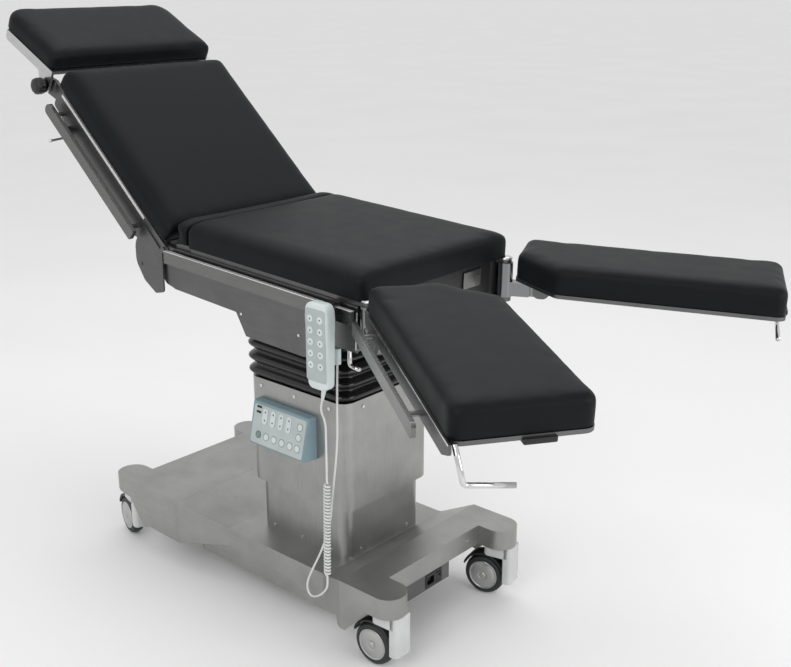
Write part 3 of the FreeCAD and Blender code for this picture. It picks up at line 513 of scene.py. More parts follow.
CAD_FINISHES = [
    (SHEET_STEEL, 0.0018, 3, ["base_casing"]),
    (SHEET_STEEL, 0.0015, 2, ["base_chassis"]),
    (COLUMN_STEEL, 0.001, 2, ["column_casing"]),
    (COLUMN_STEEL, 0.0015, 2, ["column_sleeve"]),
    (CHROME, 0, 0, ["lift_cylinder", "lift_ram", "back_lever"]),
    (CHROME, 0.0004, 2, ["base_screws", "sleeve_screws"]),
    (POST_CHROME, 0.001, 2, ["leg_post_near", "leg_post_far"]),
    (CASTING, 0.001, 2, ["cardan_base"]),
    (FRAME_STEEL, 0.001, 2, ["inlet_box", "cardan_cross", "seat_frame", "side_covers", "kidney_bridge",
                             "back_frame", "leg_frame_near", "leg_frame_far"]),
    (FRAME_STEEL, 0.0008, 2, ["hinge_covers"]),
    (RAIL_STEEL, 0.001, 2, ["seat_rails", "back_rails", "leg_rail_near", "leg_rail_far"]),
    (RAIL_STEEL, 0.0006, 2, ["pendant_hook"]),
    (BRIGHT_STEEL, 0.001, 2, ["head_frame"]),
    (BLACK_ABS, 0.0006, 2, ["inlet_socket"]),
    (BLACK_ABS, 0.0004, 2, ["mains_switch"]),
    (HANDSET_ABS, 0.001, 2, ["cord_connector"]),
    (PANEL_ABS, 0.0025, 4, ["control_panel"])]
for material, width, segments, names in CAD_FINISHES:
    for name in names:
        finish_node(name, material, width, segments)
print("finished CAD nodes")

# %% [markdown]
# ## Cord
# The handset's cord leaves a tapered relief, runs down to a curly part and comes back up behind it to
# a connector under the seat. The route is one smooth NURBS curve with its points as control points.
# Where the cord is curly, the curve's own points are read back and a helix is wound round them.

# %% Cord
CORD_D = 0.0045
COIL_D = 0.016
COIL_TURNS = 29
COIL_STEPS = 16
COIL_TOP, COIL_LOW = 0.452, 0.228
CORD_Y = -0.290
LEAD_ROUTE = [(0.2365, CORD_Y, 0.627), (0.228, CORD_Y, 0.607), (0.2445, CORD_Y, 0.582),
              (0.2445, CORD_Y, 0.545), (0.2445, CORD_Y, 0.470)]
COIL_ROUTE = [(0.2445, CORD_Y, COIL_TOP), (0.240, CORD_Y, COIL_LOW)]
RETURN_ROUTE = [
    (0.240, CORD_Y, 0.198), (0.212, CORD_Y, 0.168), (0.184, -0.289, 0.157), (0.171, -0.287, 0.181),
    (0.188, -0.284, 0.222), (0.213, -0.278, 0.275), (0.233, -0.272, 0.338), (0.236, -0.267, 0.402),
    (0.241, -0.262, 0.464), (0.244, -0.257, 0.526), (0.236, -0.248, 0.590), (0.229, -0.240, 0.640),
    (0.227, -0.236, 0.688)]


def cord_curve(name, points, diameter):
    """Round cord on a smooth NURBS spline through the route's control points."""
    data = bpy.data.curves.new(name, "CURVE")
    data.dimensions = "3D"
    spline = data.splines.new("NURBS")
    spline.points.add(len(points) - 1)
    spline.points.foreach_set("co", np.column_stack([np.array(points), np.ones(len(points))]).ravel())
    spline.order_u = 3
    spline.use_endpoint_u = True
    spline.resolution_u = 8
    data.bevel_depth = diameter / 2
    data.bevel_resolution = 3
    data.use_fill_caps = True
    return linked(name, data)


def centre_line(obj):
    """Points along a curve's centre line, read from a copy of the curve with its thickness left off."""
    bare = obj.data.copy()
    bare.bevel_depth = 0.0
    holder = bpy.data.objects.new("line", bare)
    points = mesh_points(bpy.data.meshes.new_from_object(holder))
    bpy.data.objects.remove(holder)
    return points


def line_length(points):
    """Sum of the straight steps between neighbouring points."""
    return float(np.linalg.norm(np.diff(points, axis=0), axis=1).sum())


def helix(axis_points):
    """Each point is the axis point at its share of the length, plus a radius that turns at a steady
    rate and fades in over the first turn and out over the last one."""
    steps = np.linalg.norm(np.diff(axis_points, axis=0), axis=1)
    along = np.concatenate([[0.0], np.cumsum(steps)])
    share = np.linspace(0, 1, COIL_TURNS * COIL_STEPS + 1)
    centre = np.column_stack([np.interp(share * along[-1], along, axis_points[:, k]) for k in range(3)])
    angle = 2 * math.pi * COIL_TURNS * share
    radius = np.clip(np.minimum(share, 1 - share) * COIL_TURNS * 1.3, 0, 1) * (COIL_D - CORD_D) / 2
    return centre + np.column_stack([radius * np.cos(angle), radius * np.sin(angle), np.zeros_like(share)])


route = cord_curve("route", LEAD_ROUTE + COIL_ROUTE + RETURN_ROUTE, 0.0)
route_line = centre_line(route)
bpy.data.objects.remove(route)
going_down = route_line[:int(route_line[:, 2].argmin())]
curly = going_down[(going_down[:, 2] <= COIL_TOP) & (going_down[:, 2] >= COIL_LOW)]
cord = cord_curve("handset_cord", LEAD_ROUTE + helix(curly).tolist() + RETURN_ROUTE, CORD_D)
cord_length = line_length(centre_line(cord))
print("cord length in metres:", round(cord_length, 3), "curly axis:", round(line_length(curly), 3))

# %% Strain relief
RELIEF_TOP = np.array([0.2415, CORD_Y, 0.6515])
RELIEF_END = np.array([0.2365, CORD_Y, 0.627])


def relief():
    """Tapered sleeve with shallow rings: radius falls along its length and dips seven times."""
    t = np.linspace(0, 1, 57)
    radius = 0.0055 + (0.0031 - 0.0055) * t - 0.0005 * (0.5 - 0.5 * np.cos(2 * math.pi * 7 * t))
    axis = RELIEF_END - RELIEF_TOP
    height = t * np.linalg.norm(axis)
    z = axis / np.linalg.norm(axis)
    x = np.array([0.0, 1.0, 0.0])
    turn = np.eye(4)
    turn[:3, 0], turn[:3, 1], turn[:3, 2], turn[:3, 3] = x, np.cross(z, x), z, RELIEF_TOP
    return lathe("handset_strain_relief", np.column_stack([radius, height]).tolist(), turn, 24)


relief_piece = dress(relief(), CORD_PVC, "seat", "cord", "pendant_relief")
dress(cord, CORD_PVC, "seat", "cord", "cord_ends", "cord_coil")

# %% [markdown]
# ## Upholstered pads
# Each pad is foam in coated fabric on a flat board. It starts as a rounded slab of about the size of
# the space it may fill. The slab is remeshed evenly and blown up as cloth for twenty frames, which
# crowns the top and softens the edges. Each point may move only a few millimetres, the board and the
# neighbours keep their side flat, and the top falls off a little towards the table's long sides.

# %% Pads
VOXEL = 0.006
UNDER = 0.012
HALF = 0.248
KEEP_HALF = 0.249
SHOULDER = 0.055
PRESSURE = 4.0
FRAMES = 20


def applied(obj, name):
    """New mesh object with the modifiers of obj worked in, and obj removed."""
    shown = obj.evaluated_get(bpy.context.evaluated_depsgraph_get())
    mesh = bpy.data.meshes.new_from_object(shown)
    bpy.data.objects.remove(obj)
    mesh.name = name
    return linked(name, mesh)


def blown_up(obj, name, cap):
    """Pressure on the remeshed slab, each point moved at most cap metres from where it started."""
    remesh = obj.modifiers.new("even", "REMESH")
    remesh.mode = "VOXEL"
    remesh.voxel_size = VOXEL
    even = applied(obj, name)
    start = mesh_points(even.data)
    cloth = even.modifiers.new("pressure", "CLOTH")
    cloth.settings.use_pressure = True
    cloth.settings.uniform_pressure_force = PRESSURE
    cloth.settings.effector_weights.gravity = 0.0
    cloth.settings.quality = 4
    cloth.point_cache.frame_start = 1
    cloth.point_cache.frame_end = FRAMES
    scene = bpy.context.scene
    for frame_number in range(1, FRAMES + 1):
        scene.frame_set(frame_number)
    done = applied(even, name)
    scene.frame_set(1)
    shift = mesh_points(done.data) - start
    length = np.linalg.norm(shift, axis=1, keepdims=True)
    shift *= np.minimum(1.0, cap / np.maximum(length, 1e-9))
    done.data.vertices.foreach_set("co", (start + shift).ravel())
    even_out = done.modifiers.new("even_out", "SMOOTH")
    even_out.factor = 0.5
    even_out.iterations = 7
    return applied(done, name)


def shoulders(points, across, up, low, high, drop):
    """Lowers a pad's upper part towards its two long sides, by a parabola that starts SHOULDER metres
    inside them and reaches drop at the edge. At the board nothing moves."""
    share = np.clip((np.abs(points[:, across]) - (HALF - SHOULDER)) / SHOULDER, 0, 1)
    points[:, up] -= drop * share ** 2 * np.clip((points[:, up] - low) / (high - low), 0, 1)


def pad(name, corners, low, high, matrix, cap, keep, crown=0.002, start_inset=0.0005, edges=(0.004, 0.012),
        soft=None):
    """Pad in its section's flat frame. keep is the box it may not leave: (low corner, high corner). The
    slab starts UNDER metres below the board and is pressed flat on it, which keeps its lower edge crisp.
    soft holds the settings of its shoulders."""
    outline = rounded_outline(corners, 8)
    levels = rounded_levels(low - UNDER, high - crown, edges[0], edges[1])
    rings = inset_rings(outline, [(start_inset + inset, height) for inset, height in levels])
    obj = skin(name, rings)
    obj = blown_up(obj, name, cap)
    points = np.clip(mesh_points(obj.data), keep[0], keep[1])
    if soft:
        shoulders(points, *soft)
    smooth_round = obj.modifiers.new("smooth", "SUBSURF")
    obj.data.vertices.foreach_set("co", carried(points, matrix).ravel())
    smooth_round.levels = smooth_round.render_levels = 1
    if np.linalg.det(matrix[:3, :3]) < 0:
        obj.data.flip_normals()
    obj.data.polygons.foreach_set("use_smooth", np.ones(len(obj.data.polygons), bool))
    obj.data.update()
    return obj


def ends(x0, x1, r0, r1):
    """Outline over the table's whole width, with one corner radius at each end."""
    return [(x0, -HALF, r0), (x1, -HALF, r1), (x1, HALF, r1), (x0, HALF, r0)]


def box_keep(x0, x1, y0, y1, z0, z1):
    """Low and high corner of the box that a pad stays in."""
    return np.array([x0, y0, z0]), np.array([x1, y1, z1])


seat_pad = pad("seat_cushion", ends(-0.2440, 0.296, 0.012, 0.020), 0.846, 0.905, SEAT, 0.004,
               box_keep(-0.2395, 0.297, -KEEP_HALF, KEEP_HALF, 0.8463, 0.909),
               soft=(1, 2, 0.846, 0.905, 0.013))
dress(seat_pad, VINYL, "seat", "vinyl", "seat_pad")
back_pad = pad("back_cushion", ends(-0.518, -0.008, 0.020, 0.012), 0.016, 0.066, BACK, 0.004,
               box_keep(-0.519, -0.0095, -KEEP_HALF, KEEP_HALF, 0.0163, 0.070), edges=(0.004, 0.020),
               soft=(1, 2, 0.016, 0.066, 0.008))
dress(back_pad, VINYL, "back", "vinyl", "back_pad")
head_pad = pad("head_cushion", ends(-0.222, 0.012, 0.045, 0.012), 0.049, 0.092, HEAD, 0.004,
               box_keep(-0.223, 0.0125, -KEEP_HALF, KEEP_HALF, 0.0493, 0.096),
               soft=(1, 2, 0.049, 0.092, 0.008))
dress(head_pad, VINYL, "head", "vinyl", "head_pad")
kidney = pad("kidney_cushion", [(-0.292, 0.846, 0.003), (-0.2370, 0.846, 0.003), (-0.2390, 0.905, 0.010),
                                (-0.284, 0.905, 0.008), (-0.269, 0.876, 0.006), (-0.269, 0.860, 0.006)],
             -HALF, HALF, upright(SEAT), 0.002,
             box_keep(-0.2920, -0.2404, 0.8463, 0.9080, -KEEP_HALF, KEEP_HALF),
             crown=0.0, start_inset=0.001, edges=(0.010, 0.010), soft=(2, 1, 0.846, 0.905, 0.013))
dress(kidney, VINYL, "kidney", "vinyl", "kidney_pad")
LEG_OUTLINE = [(0.038, -0.125, 0.020), (0.138, -0.229, 0.020), (0.590, -0.229, 0.022), (0.590, 0.016, 0.022),
               (0.038, 0.016, 0.010)]
for side, matrix in LEGS.items():
    leg_pad = pad("leg_cushion_" + side, LEG_OUTLINE, 0.0, 0.056, matrix, 0.004,
                  box_keep(0.036, 0.592, -0.2300, 0.0170, 0.0003, 0.060))
    dress(leg_pad, VINYL, "leg_" + side, "vinyl", "leg_pad_" + side)

# %% [markdown]
# ## Bellows
# A pleated rubber cover closes the gap between the column and the tilting seat. Its section is a
# rounded rectangle, and its half width goes in and out with height. The lower half bends between the
# column and the tilt cross, the upper half between the cross and the seat.

# %% Bellows
BELLOWS_LOW, BELLOWS_HIGH = 0.548, 0.736
BELLOWS_HALF = (0.1525, 0.1405)
PLEATS = 6
SWELL = 0.012
BELLOWS_CORNER = 0.036


def bellows_half(name, start, end, side_steps=10, steps_per_pleat=12):
    """Skin between two heights, given as shares of the whole: width grows as the cosine of the pleat's
    phase, sharpened at the crease, and each ring is tilted by its share of the seat's tilt."""
    rows = int(round((end - start) * PLEATS * steps_per_pleat)) + 1
    share = np.linspace(start, end, rows)
    phase = 0.5 - 0.5 * np.cos(2 * math.pi * PLEATS * share)
    grow = SWELL * phase ** 0.75
    rings = []
    for s, g in zip(share, grow):
        x, y = BELLOWS_HALF[0] + g, BELLOWS_HALF[1] + g
        ring = rounded_outline(rectangle(-x, x, -y, y, BELLOWS_CORNER), side_steps)
        ring = np.column_stack([ring, np.full(len(ring), BELLOWS_LOW + (BELLOWS_HIGH - BELLOWS_LOW) * s)])
        rings.append(carried(ring, tilted(SEAT_TILT * s)))
    obj = skin(name, rings, caps=False)
    wall = obj.modifiers.new("wall", "SOLIDIFY")
    wall.thickness = 0.0025
    wall.offset = -1.0
    return obj


bellows_low = bellows_half("bellows_lower", 0.0, 0.5)
bellows_high = bellows_half("bellows_upper", 0.5, 1.0)
for half in (bellows_low, bellows_high):
    half.data.materials.append(BELLOWS_RUBBER)
    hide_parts("bellows")
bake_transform(bellows_low)
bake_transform(bellows_high)
print("bellows rows:", len(bellows_low.data.vertices), len(bellows_high.data.vertices))

# %% [markdown]
# ## Control panel
# The keypad lies on the sloping face of the control box. Its own flat frame has X along the face,
# Y up it and Z out of it. Pill-shaped keys carry printed arrows, and low round ones a printed ring.

# %% Control panel
PANEL = np.array([[1, 0, 0, 0], [0, 0.2312, -0.9729, -0.164], [0, 0.9729, 0.2312, 0.500], [0, 0, 0, 1.0]])
PANEL_PILLS = [(-0.072, 0.030), (-0.046, 0.030), (-0.020, 0.030), (0.006, 0.030)]
PANEL_ROUNDS = [(0.042, 0.026), (0.042, 0.050), (0.042, 0.076), (0.018, 0.076), (-0.008, 0.076),
                (-0.034, 0.076), (-0.060, 0.076), (-0.086, 0.076)]


def plate(name, x0, x1, y0, y1, low, high, corner, edge, matrix):
    """Thin plate with rounded corners."""
    return slab(name, rectangle(x0, x1, y0, y1, corner), low, high, edge, matrix, 6)


def ring_print(name, outline, width, low, high, matrix):
    """Printed line of a given width along a closed outline: an outer and an inner ring joined."""
    step = np.roll(outline, -1, 0) - np.roll(outline, 1, 0)
    step /= np.linalg.norm(step, axis=1, keepdims=True)
    normal = np.column_stack([step[:, 1], -step[:, 0]])
    rows = [(0.0, low), (0.0, high), (width, high), (width, low)]
    rings = np.array([np.column_stack([outline - normal * w, np.full(len(outline), h)]) for w, h in rows])
    n = len(outline)
    i, j = np.meshgrid(np.arange(4), np.arange(n), indexing="ij")
    k, m = (j + 1) % n, (i + 1) % 4
    quads = np.stack([i * n + j, i * n + k, m * n + k, m * n + j], -1).reshape(-1, 4)
    return mesh_piece(name, rings, [tuple(q) for q in quads.tolist()], matrix, smooth=False)


def dome_key(name, radius, height, matrix):
    """Round key: a short wall, a rounded shoulder and a shallow dome."""
    profile = [(radius, -0.0004), (radius, height * 0.45), (radius * 0.97, height * 0.75),
               (radius * 0.88, height * 0.95), (radius * 0.6, height * 1.05), (radius * 0.05, height * 1.1)]
    return lathe(name, profile, matrix, 40)


def arrow(name, size, height, matrix, down=False):
    """Small printed triangle, pointing up or down."""
    s = -size if down else size
    corners = [(-size * 0.8, -s * 0.6), (size * 0.8, -s * 0.6), (0.0, s * 0.8)]
    if down:
        corners = corners[::-1]
    corners = [(a, b, size * 0.15) for a, b in corners]
    return slab(name, corners, height - 0.0003, height, 0.00005, matrix, 3)


film = plate("panel_film", -0.110, 0.060, -0.097, -0.007, -0.0003, 0.0004, 0.006, 0.0002, PANEL)
dress(film, PANEL_FILM, "lift", "film")
for index, (x, y) in enumerate(((-0.094, -0.024), (-0.094, -0.012))):
    bar = plate(f"panel_display_{index}", x - 0.008, x + 0.008, y - 0.0028, y + 0.0028, 0.0003, 0.0007,
                0.001, 0.0001, PANEL)
    dress(bar, DISPLAY, "lift", "panel")
for index, (x, along) in enumerate(PANEL_PILLS):
    corners = rectangle(x - 0.008, x + 0.008, -along - 0.019, -along + 0.019, 0.0079)
    pill = slab(f"panel_pill_{index}", corners, -0.0002, 0.0012, 0.0005, PANEL, 10)
    dress(pill, HANDSET_ABS, "lift", "film", *(["panel_keys"] if index == 0 else []))
    border = rounded_outline(corners, 10)
    line = ring_print(f"panel_pill_line_{index}", border, 0.0010, 0.0003, 0.0009, PANEL)
    dress(line, KEY_INK, "lift", "film")
    for sign, high_end in ((1, False), (-1, True)):
        mark = arrow(f"panel_arrow_{index}_{'down' if high_end else 'up'}", 0.0036, 0.0014,
                     PANEL @ move(x, -along + sign * 0.010, 0), high_end)
        dress(mark, KEY_INK, "lift", "film")
for index, (x, along) in enumerate(PANEL_ROUNDS):
    place = PANEL @ move(x, -along, 0)
    key = dome_key(f"panel_key_{index}", 0.0080, 0.0012, place)
    dress(key, KEY_GREEN if index == 7 else HANDSET_ABS, "lift", "film")
    circle = rounded_outline(rectangle(-0.0088, 0.0088, -0.0088, 0.0088, 0.0087), 10)
    line = ring_print(f"panel_key_line_{index}", circle, 0.0008, 0.0003, 0.0008, place)
    dress(line, KEY_INK, "lift", "film")
print("panel keys:", len(PANEL_PILLS) + len(PANEL_ROUNDS))

# %% [markdown]
# ## Handset
# A flat shell with soft edges, a darker keypad and two columns of round keys with printed arrows.

# %% Handset
HANDSET = upright(WORLD)
HAND_X = (0.203, 0.267)
HAND_Y = (0.278, 0.304)
HAND_Z = (0.652, 0.832)


def handset():
    """Slab with the handset's outline and large soft edges, standing upright."""
    (x0, x1), (z0, z1) = HAND_X, HAND_Z
    corners = [(x0 + 0.006, z0, 0.014), (x1 - 0.006, z0, 0.014), (x1, z1 - 0.030, 0.030),
               (x1 - 0.003, z1, 0.016), (x0 + 0.003, z1, 0.016), (x0, z1 - 0.030, 0.030)]
    return slab("handset_shell", corners, HAND_Y[0], HAND_Y[1], 0.0065, HANDSET, 8, edge_low=0.004)


dress(handset(), HANDSET_ABS, "seat", "handset", "pendant")
keypad = plate("handset_keypad", 0.2080, 0.2620, 0.670, 0.821, HAND_Y[1] - 0.0006, HAND_Y[1] + 0.0003,
               0.006, 0.0002, HANDSET)
dress(keypad, HANDSET_FILM, "seat", "handset")
for row in range(5):
    for column, x in enumerate((0.221, 0.248)):
        place = HANDSET @ move(x, 0.800 - 0.024 * row, HAND_Y[1] + 0.0003)
        name = f"handset_key_{row}_{column}"
        key = dome_key(name, 0.0075, 0.0010, place)
        dress(key, HANDSET_ABS, "seat", "handset", *(["pendant_keys"] if row + column == 0 else []))
        mark = arrow(name + "_arrow", 0.0032, 0.0013, place, down=column == 1)
        dress(mark, KEY_INK, "seat", "handset")
print("handset keys: 10")

# %% [markdown]
# ## Casters
# Each caster is a pale moulded yoke under a bright stem, on one side of a wheel with a domed metal
# disc, a rubber tyre and a black guard over it. The wheel's axle runs along the caster's own Y axis.

# %% Casters
WHEEL_R, WHEEL_HALF, DISC_R, TRAIL = 0.050, 0.015, 0.037, 0.035
HOOD_R = (0.053, 0.058)
CASTER_TOP = 0.1405
YOKE_FRONT = [(0.0165, -0.021, 0.004), (0.040, -0.021, 0.012), (0.040, 0.025, 0.012), (0.0165, 0.025, 0.002)]
YOKE_BRIDGE = [(-0.034, -0.021, 0.012), (0.030, -0.021, 0.002), (0.030, 0.025, 0.002), (-0.034, 0.025, 0.012)]
YOKE_CHEEK = [(-0.060, 0.062, 0.020), (-0.052, 0.030, 0.014), (-0.020, 0.030, 0.014), (0.040, 0.042, 0.006),
              (0.040, CASTER_TOP, 0.001), (-0.034, CASTER_TOP, 0.010)]


def tyre(name, place):
    """Rounded tread: a lathed profile with an elliptical shoulder, and a small step at the disc."""
    t = np.linspace(-math.pi / 2, math.pi / 2, 15)
    tread = [(WHEEL_R - 0.006 + 0.006 * math.cos(a), (WHEEL_HALF - 0.0005) * math.sin(a)) for a in t]
    profile = [(DISC_R - 0.0002, -WHEEL_HALF), (DISC_R + 0.002, -WHEEL_HALF)] + tread
    profile += [(DISC_R + 0.002, WHEEL_HALF), (DISC_R - 0.0002, WHEEL_HALF)]
    return lathe(name, profile, place, 96, hollow=True)


def disc(name, place):
    """Pressed disc: a rolled rim, a groove, a shallow dome and a cap in the middle."""
    profile = [(0.0365, -0.0145), (0.0367, 0.0146), (0.0362, 0.0158), (0.0350, 0.0162), (0.0338, 0.0157),
               (0.0330, 0.0148), (0.0318, 0.0149), (0.0280, 0.0163), (0.0220, 0.0174), (0.0150, 0.0181),
               (0.0090, 0.0184), (0.0084, 0.0176), (0.0078, 0.0184), (0.0070, 0.0192), (0.0040, 0.0195),
               (0.0003, 0.0196)]
    return lathe(name, profile, place, 96)


def guard(name, place):
    """Black crescent over the tyre: an arc-shaped plate with its ends tapering to a point."""
    t = np.linspace(math.radians(22), math.radians(160), 41)
    fade = np.sin((t - t[0]) / (t[-1] - t[0]) * math.pi) ** 0.4
    spoke = np.column_stack([np.cos(t), np.sin(t)])
    outer = HOOD_R[0] + 0.0015 + (HOOD_R[1] - HOOD_R[0]) * fade
    outline = np.vstack([outer[:, None] * spoke, HOOD_R[0] * spoke[::-1]])
    rings = inset_rings(outline, [(0.0004, -0.0160), (0.0, -0.0156), (0.0, 0.0156), (0.0004, 0.0160)])
    return skin(name, rings, place)


for corner, place in CASTERS.items():
    fork, wheel = "swivel_" + corner, "wheel_" + corner
    axle = place @ move(-TRAIL, 0, WHEEL_R)
    side = upright(axle)
    dress(tyre("tyre_" + corner, side), TYRE_RUBBER, wheel, "tyre", "caster_tyre_" + corner)
    dress(disc("wheel_disc_" + corner, side), DISC_METAL, wheel, "disc", "caster_disc_" + corner)
    dress(guard("tyre_guard_" + corner, side), BLACK_ABS, fork, "black", "caster_fork_" + corner)
    yoke = [slab("yoke_front_" + corner, YOKE_FRONT, 0.042, CASTER_TOP, 0.004, place),
            slab("yoke_bridge_" + corner, YOKE_BRIDGE, 0.1082, CASTER_TOP, 0.003, place),
            slab("yoke_cheek_" + corner, YOKE_CHEEK, -0.025, -0.017, 0.002, upright(place))]
    for piece in yoke:
        dress(piece, YOKE_ABS, fork, "yoke")
    stem = lathe("yoke_stem_" + corner, [(0.010, 0.120), (0.010, 0.172), (0.008, 0.174)], place, 32)
    dress(stem, CHROME, fork, "yoke")
print("casters:", list(CASTERS))

# %% [markdown]
# ## Handles, knob and small parts
# Bent rods, a scalloped clamp knob, black catches at the foot ends, caps on the leg posts, near-white
# strips of painted highlight along edges, screws on the side covers, black seals at the back hinge, and a
# thin black sheet of painted shade on the seat's foot end.

# %% Small parts
def bent(points, radius, steps=9):
    """Straight runs joined by arcs of one radius, as a bending tool leaves them."""
    points = np.asarray(points, float)
    arcs = [corner_arc(p, a - p, b - p, radius, steps) for a, p, b in zip(points, points[1:], points[2:])]
    return np.vstack([points[:1], *arcs, points[-1:]])


HANDLE_U = 0.588
for side, matrix in LEGS.items():
    path = bent([(HANDLE_U, 0.005, -0.002), (HANDLE_U, -0.012, -0.074), (HANDLE_U, -0.096, -0.084)], 0.010)
    dress(tube("leg_release_rod_" + side, path, 0.00475, matrix), CHROME, "handle_" + side, "chrome",
          "leg_handle_" + side)
    catch = slab("foot_catch_" + side, rectangle(0.560, 0.594, -0.158, -0.102, 0.004), -0.014, -0.0040,
                 0.002, matrix)
    dress(catch, BLACK_ABS, "leg_" + side, "black")
    # painted highlight: a thin bright strip along the leg's inner edge
    strip = slab("leg_painted_highlight_" + side, rectangle(0.034, 0.594, -0.0030, -0.0002), -0.0172, -0.0158,
                 0.0003, upright(matrix))
    dress(strip, BRIGHT_STEEL, "leg_" + side, "chrome")
    cap = lathe("post_cap_" + side, [(0.0160, 0.0088), (0.0160, 0.0110), (0.0154, 0.0124), (0.0135, 0.0139),
                                    (0.0100, 0.0150), (0.0055, 0.0157), (0.0002, 0.0159)], POSTS[side], 48)
    dress(cap, CHROME, "seat", "chrome")


def both_sides(name, corners, inner, outer, edge, section, material, body, slot):
    """Two upright slabs between a section's inner and outer distance from the middle, near and far."""
    for side, low, high in (("near", inner, outer), ("far", -outer, -inner)):
        piece = slab(name + "_" + side, corners, low, high, edge, upright(section))
        dress(piece, material, body, slot)


# painted highlights: thin near-white strips along the seat rail's top edge and along the back's sides
both_sides("seat_rail_painted_highlight", rectangle(-0.306, 0.280, 0.8268, 0.8282), 0.2480, 0.2580, 0.0003, SEAT,
           PAINTED_HIGHLIGHT_STEEL, "seat", "chrome")
both_sides("back_side_painted_highlight", rectangle(-0.480, -0.090, 0.002, 0.009), 0.2440, 0.2462, 0.0003, BACK,
           PAINTED_HIGHLIGHT_STEEL, "back", "chrome")
both_sides("cover_end", [(-0.342, 0.776, 0.018), (-0.326, 0.744, 0.020), (-0.290, 0.737, 0.002),
                         (-0.290, 0.834, 0.001), (-0.312, 0.834, 0.006), (-0.312, 0.812, 0.004),
                         (-0.342, 0.812, 0.004)], 0.2362, 0.2398, 0.0008, SEAT, FRAME_STEEL, "seat", "steel")
# painted highlight: a thin near-white line down the front corner of each side cover
both_sides("cover_corner_painted_highlight", rectangle(0.2785, 0.2812, 0.7420, 0.8220), 0.2400, 0.2410, 0.0003, SEAT,
           PAINTED_HIGHLIGHT_STEEL, "seat", "chrome")
SCREW_PROFILE = [(0.0036, 0.2396), (0.0036, 0.2410), (0.0030, 0.2418), (0.0014, 0.2422), (0.0002, 0.2422)]
for side, section in (("near", SEAT), ("far", SEAT @ MIRROR)):
    for number, (x, z) in enumerate(((-0.0626, 0.7336), (0.1166, 0.7315))):
        place = upright(section @ move(x, 0, z))
        head = lathe(f"cover_screw_{side}_{number}", SCREW_PROFILE, place, 24)
        dress(head, CHROME, "seat", "chrome")

# the seal on the seat and the flap on the back close the gap over the hinge
seal = slab("hinge_gap_seal", [(-0.3180, 0.8270, 0.001), (-0.2945, 0.8270, 0.001), (-0.2945, 0.8445, 0.001),
                               (-0.3180, 0.8345, 0.001)], -0.2275, 0.2275, 0.0010, upright(SEAT))
dress(seal, BLACK_ABS, "seat", "black")
flap = slab("back_end_flap", [(-0.045, -0.012, 0.002), (-0.0102, -0.012, 0.002), (-0.0102, 0.0158, 0.001),
                             (-0.045, 0.0158, 0.001)], -0.2225, 0.2225, 0.0010, upright(BACK))
dress(flap, BLACK_ABS, "back", "black")

# the foot end of the seat: its flat frame has Y along the wall, Z up it and X out of it
END_FACE = SEAT @ np.array([[0, 0, 1.0, 0], [1.0, 0, 0, 0], [0, 1.0, 0, 0], [0, 0, 0, 1.0]])
# painted shade: a thin black sheet over the end wall darkens it where shade falls under the seat's foot end
end_shade_sheet = slab("seat_end_painted_shade", rectangle(-0.1900, 0.1900, 0.7440, 0.8440, 0.003), 0.2817, 0.2826, 0.0003,
             END_FACE)
dress(end_shade_sheet, BLACK_ABS, "seat", "black")
for side, y0, y1 in (("near", -0.152, -0.092), ("far", 0.092, 0.152)):
    socket = slab("seat_end_socket_" + side, rectangle(y0, y1, 0.7980, 0.8360, 0.002), 0.2824, 0.2866, 0.0012,
                  END_FACE)
    dress(socket, RAIL_STEEL, "seat", "steel")
lock = bent([(0.232, -0.205, 0.735), (0.232, -0.205, 0.677), (0.262, -0.207, 0.675)], 0.008)
dress(tube("seat_lock_rod", lock, 0.0045), CHROME, "seat", "chrome")


def knob():
    """Clamp knob: a cylinder whose radius dips eight times round, with rounded rims."""
    steps = 96
    t = np.linspace(0, 2 * math.pi, steps, endpoint=False)
    scallop = 1.0 - 0.07 * (0.5 + 0.5 * np.cos(8 * t)) ** 2
    profile = [(0.007, 0.2468), (0.007, 0.2485), (0.013, 0.2490), (0.0185, 0.2512), (0.0200, 0.2550),
               (0.0200, 0.2670), (0.0190, 0.2710), (0.0160, 0.2736), (0.0080, 0.2742), (0.0003, 0.2742)]
    rings = []
    for r, h in profile:
        round_share = np.clip((r - 0.010) / 0.010, 0, 1)
        rr = r * (1 - round_share + round_share * scallop)
        rings.append(np.column_stack([rr * np.cos(t), rr * np.sin(t), np.full(steps, h)]))
    return skin("head_clamp_knob", rings, upright(HEAD))


dress(knob(), BLACK_ABS, "knob", "black", "head_knob")
print("small parts done")

# %% [markdown]
# ## Floor, light and background
# A pale floor, a soft key light on the near side, one from above and one at the foot end. The
# background's colour comes from the world as the camera and mirrors see it, so it doesn't change how
# the table is lit.

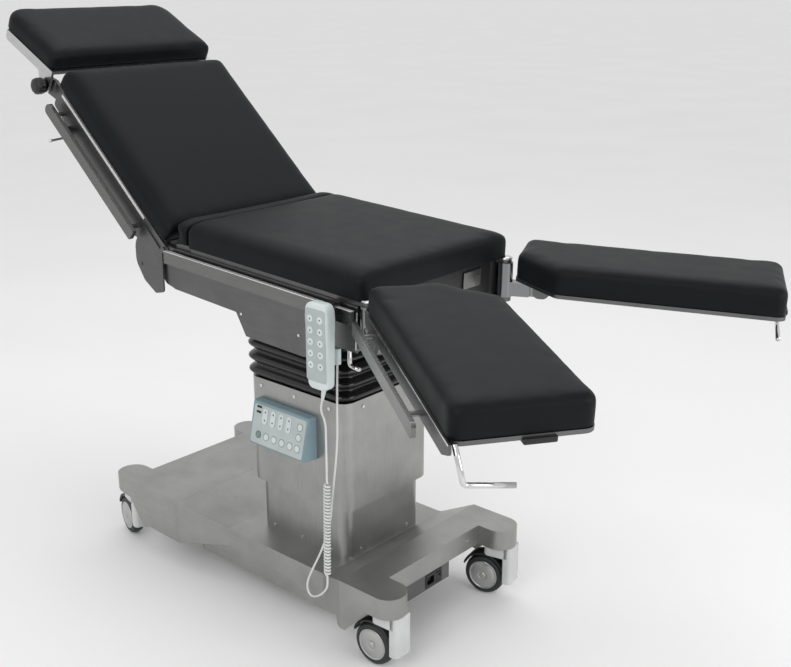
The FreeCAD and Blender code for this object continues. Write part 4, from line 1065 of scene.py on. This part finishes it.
# %% Stage
def floor():
    """Wide plate, its top at the wheels' lowest point."""
    size = 60.0
    points = [(-size, -size, 0.0), (size, -size, 0.0), (size, size, 0.0), (-size, size, 0.0)]
    obj = mesh_piece("floor", points, [(0, 1, 2, 3)], smooth=False)
    material, tree, place = new_material("pale_floor")
    cloud = noise(tree, place, 1.2, 2.0)
    surface(tree, {"Roughness": 0.75}, Base_Color=ramp(tree, cloud, linear("#eeeeee"), linear("#f1f1f1")))
    obj.data.materials.append(material)
    return obj


def area_light(name, place, target, size, power):
    """Square soft box at a place, facing a target."""
    data = bpy.data.lights.new(name, "AREA")
    data.shape = "SQUARE"
    data.size = size
    data.energy = power
    obj = linked(name, data)
    ahead = np.array(target, float) - np.array(place, float)
    ahead /= np.linalg.norm(ahead)
    flat = math.hypot(ahead[0], ahead[1])
    obj.location = place
    obj.rotation_euler = (math.pi / 2 + math.atan2(ahead[2], flat), 0.0, math.atan2(-ahead[0], ahead[1]))


def background(lighting, seen):
    """World of one grey for light and another one for what the camera sees directly or by a mirror."""
    world = bpy.data.worlds.new("studio_world")
    world.use_nodes = True
    tree = world.node_tree
    tree.nodes.clear()
    rays = add(tree, "ShaderNodeLightPath").outputs
    direct = rays["Is Camera Ray"]
    for kind in ("Is Glossy Ray", "Is Transmission Ray"):
        larger = add(tree, "ShaderNodeMath", {"operation": "MAXIMUM"})
        tree.links.new(direct, larger.inputs[0])
        tree.links.new(rays[kind], larger.inputs[1])
        direct = larger.outputs[0]
    lit = add(tree, "ShaderNodeBackground", {"Color": linear(lighting), "Strength": 0.9})
    plain = add(tree, "ShaderNodeBackground", {"Color": linear(seen), "Strength": 1.0})
    mix = add(tree, "ShaderNodeMixShader", None, Fac=direct)
    tree.links.new(lit.outputs[0], mix.inputs[1])
    tree.links.new(plain.outputs[0], mix.inputs[2])
    add(tree, "ShaderNodeOutputWorld", None, Surface=mix.outputs[0])
    bpy.context.scene.world = world


floor()
area_light("key_light", (1.2, -3.6, 3.0), (0.0, 0.0, 0.5), 2.2, 45)
area_light("top_light", (-0.6, 0.8, 3.4), (0.0, 0.0, 0.6), 2.6, 22)
area_light("side_light", (3.8, 0.4, 1.6), (0.0, 0.0, 0.5), 1.8, 36)
background("#f4f4f4", "#ececec")
scene = bpy.context.scene
scene.view_settings.view_transform = "Standard"
print("stage ready")
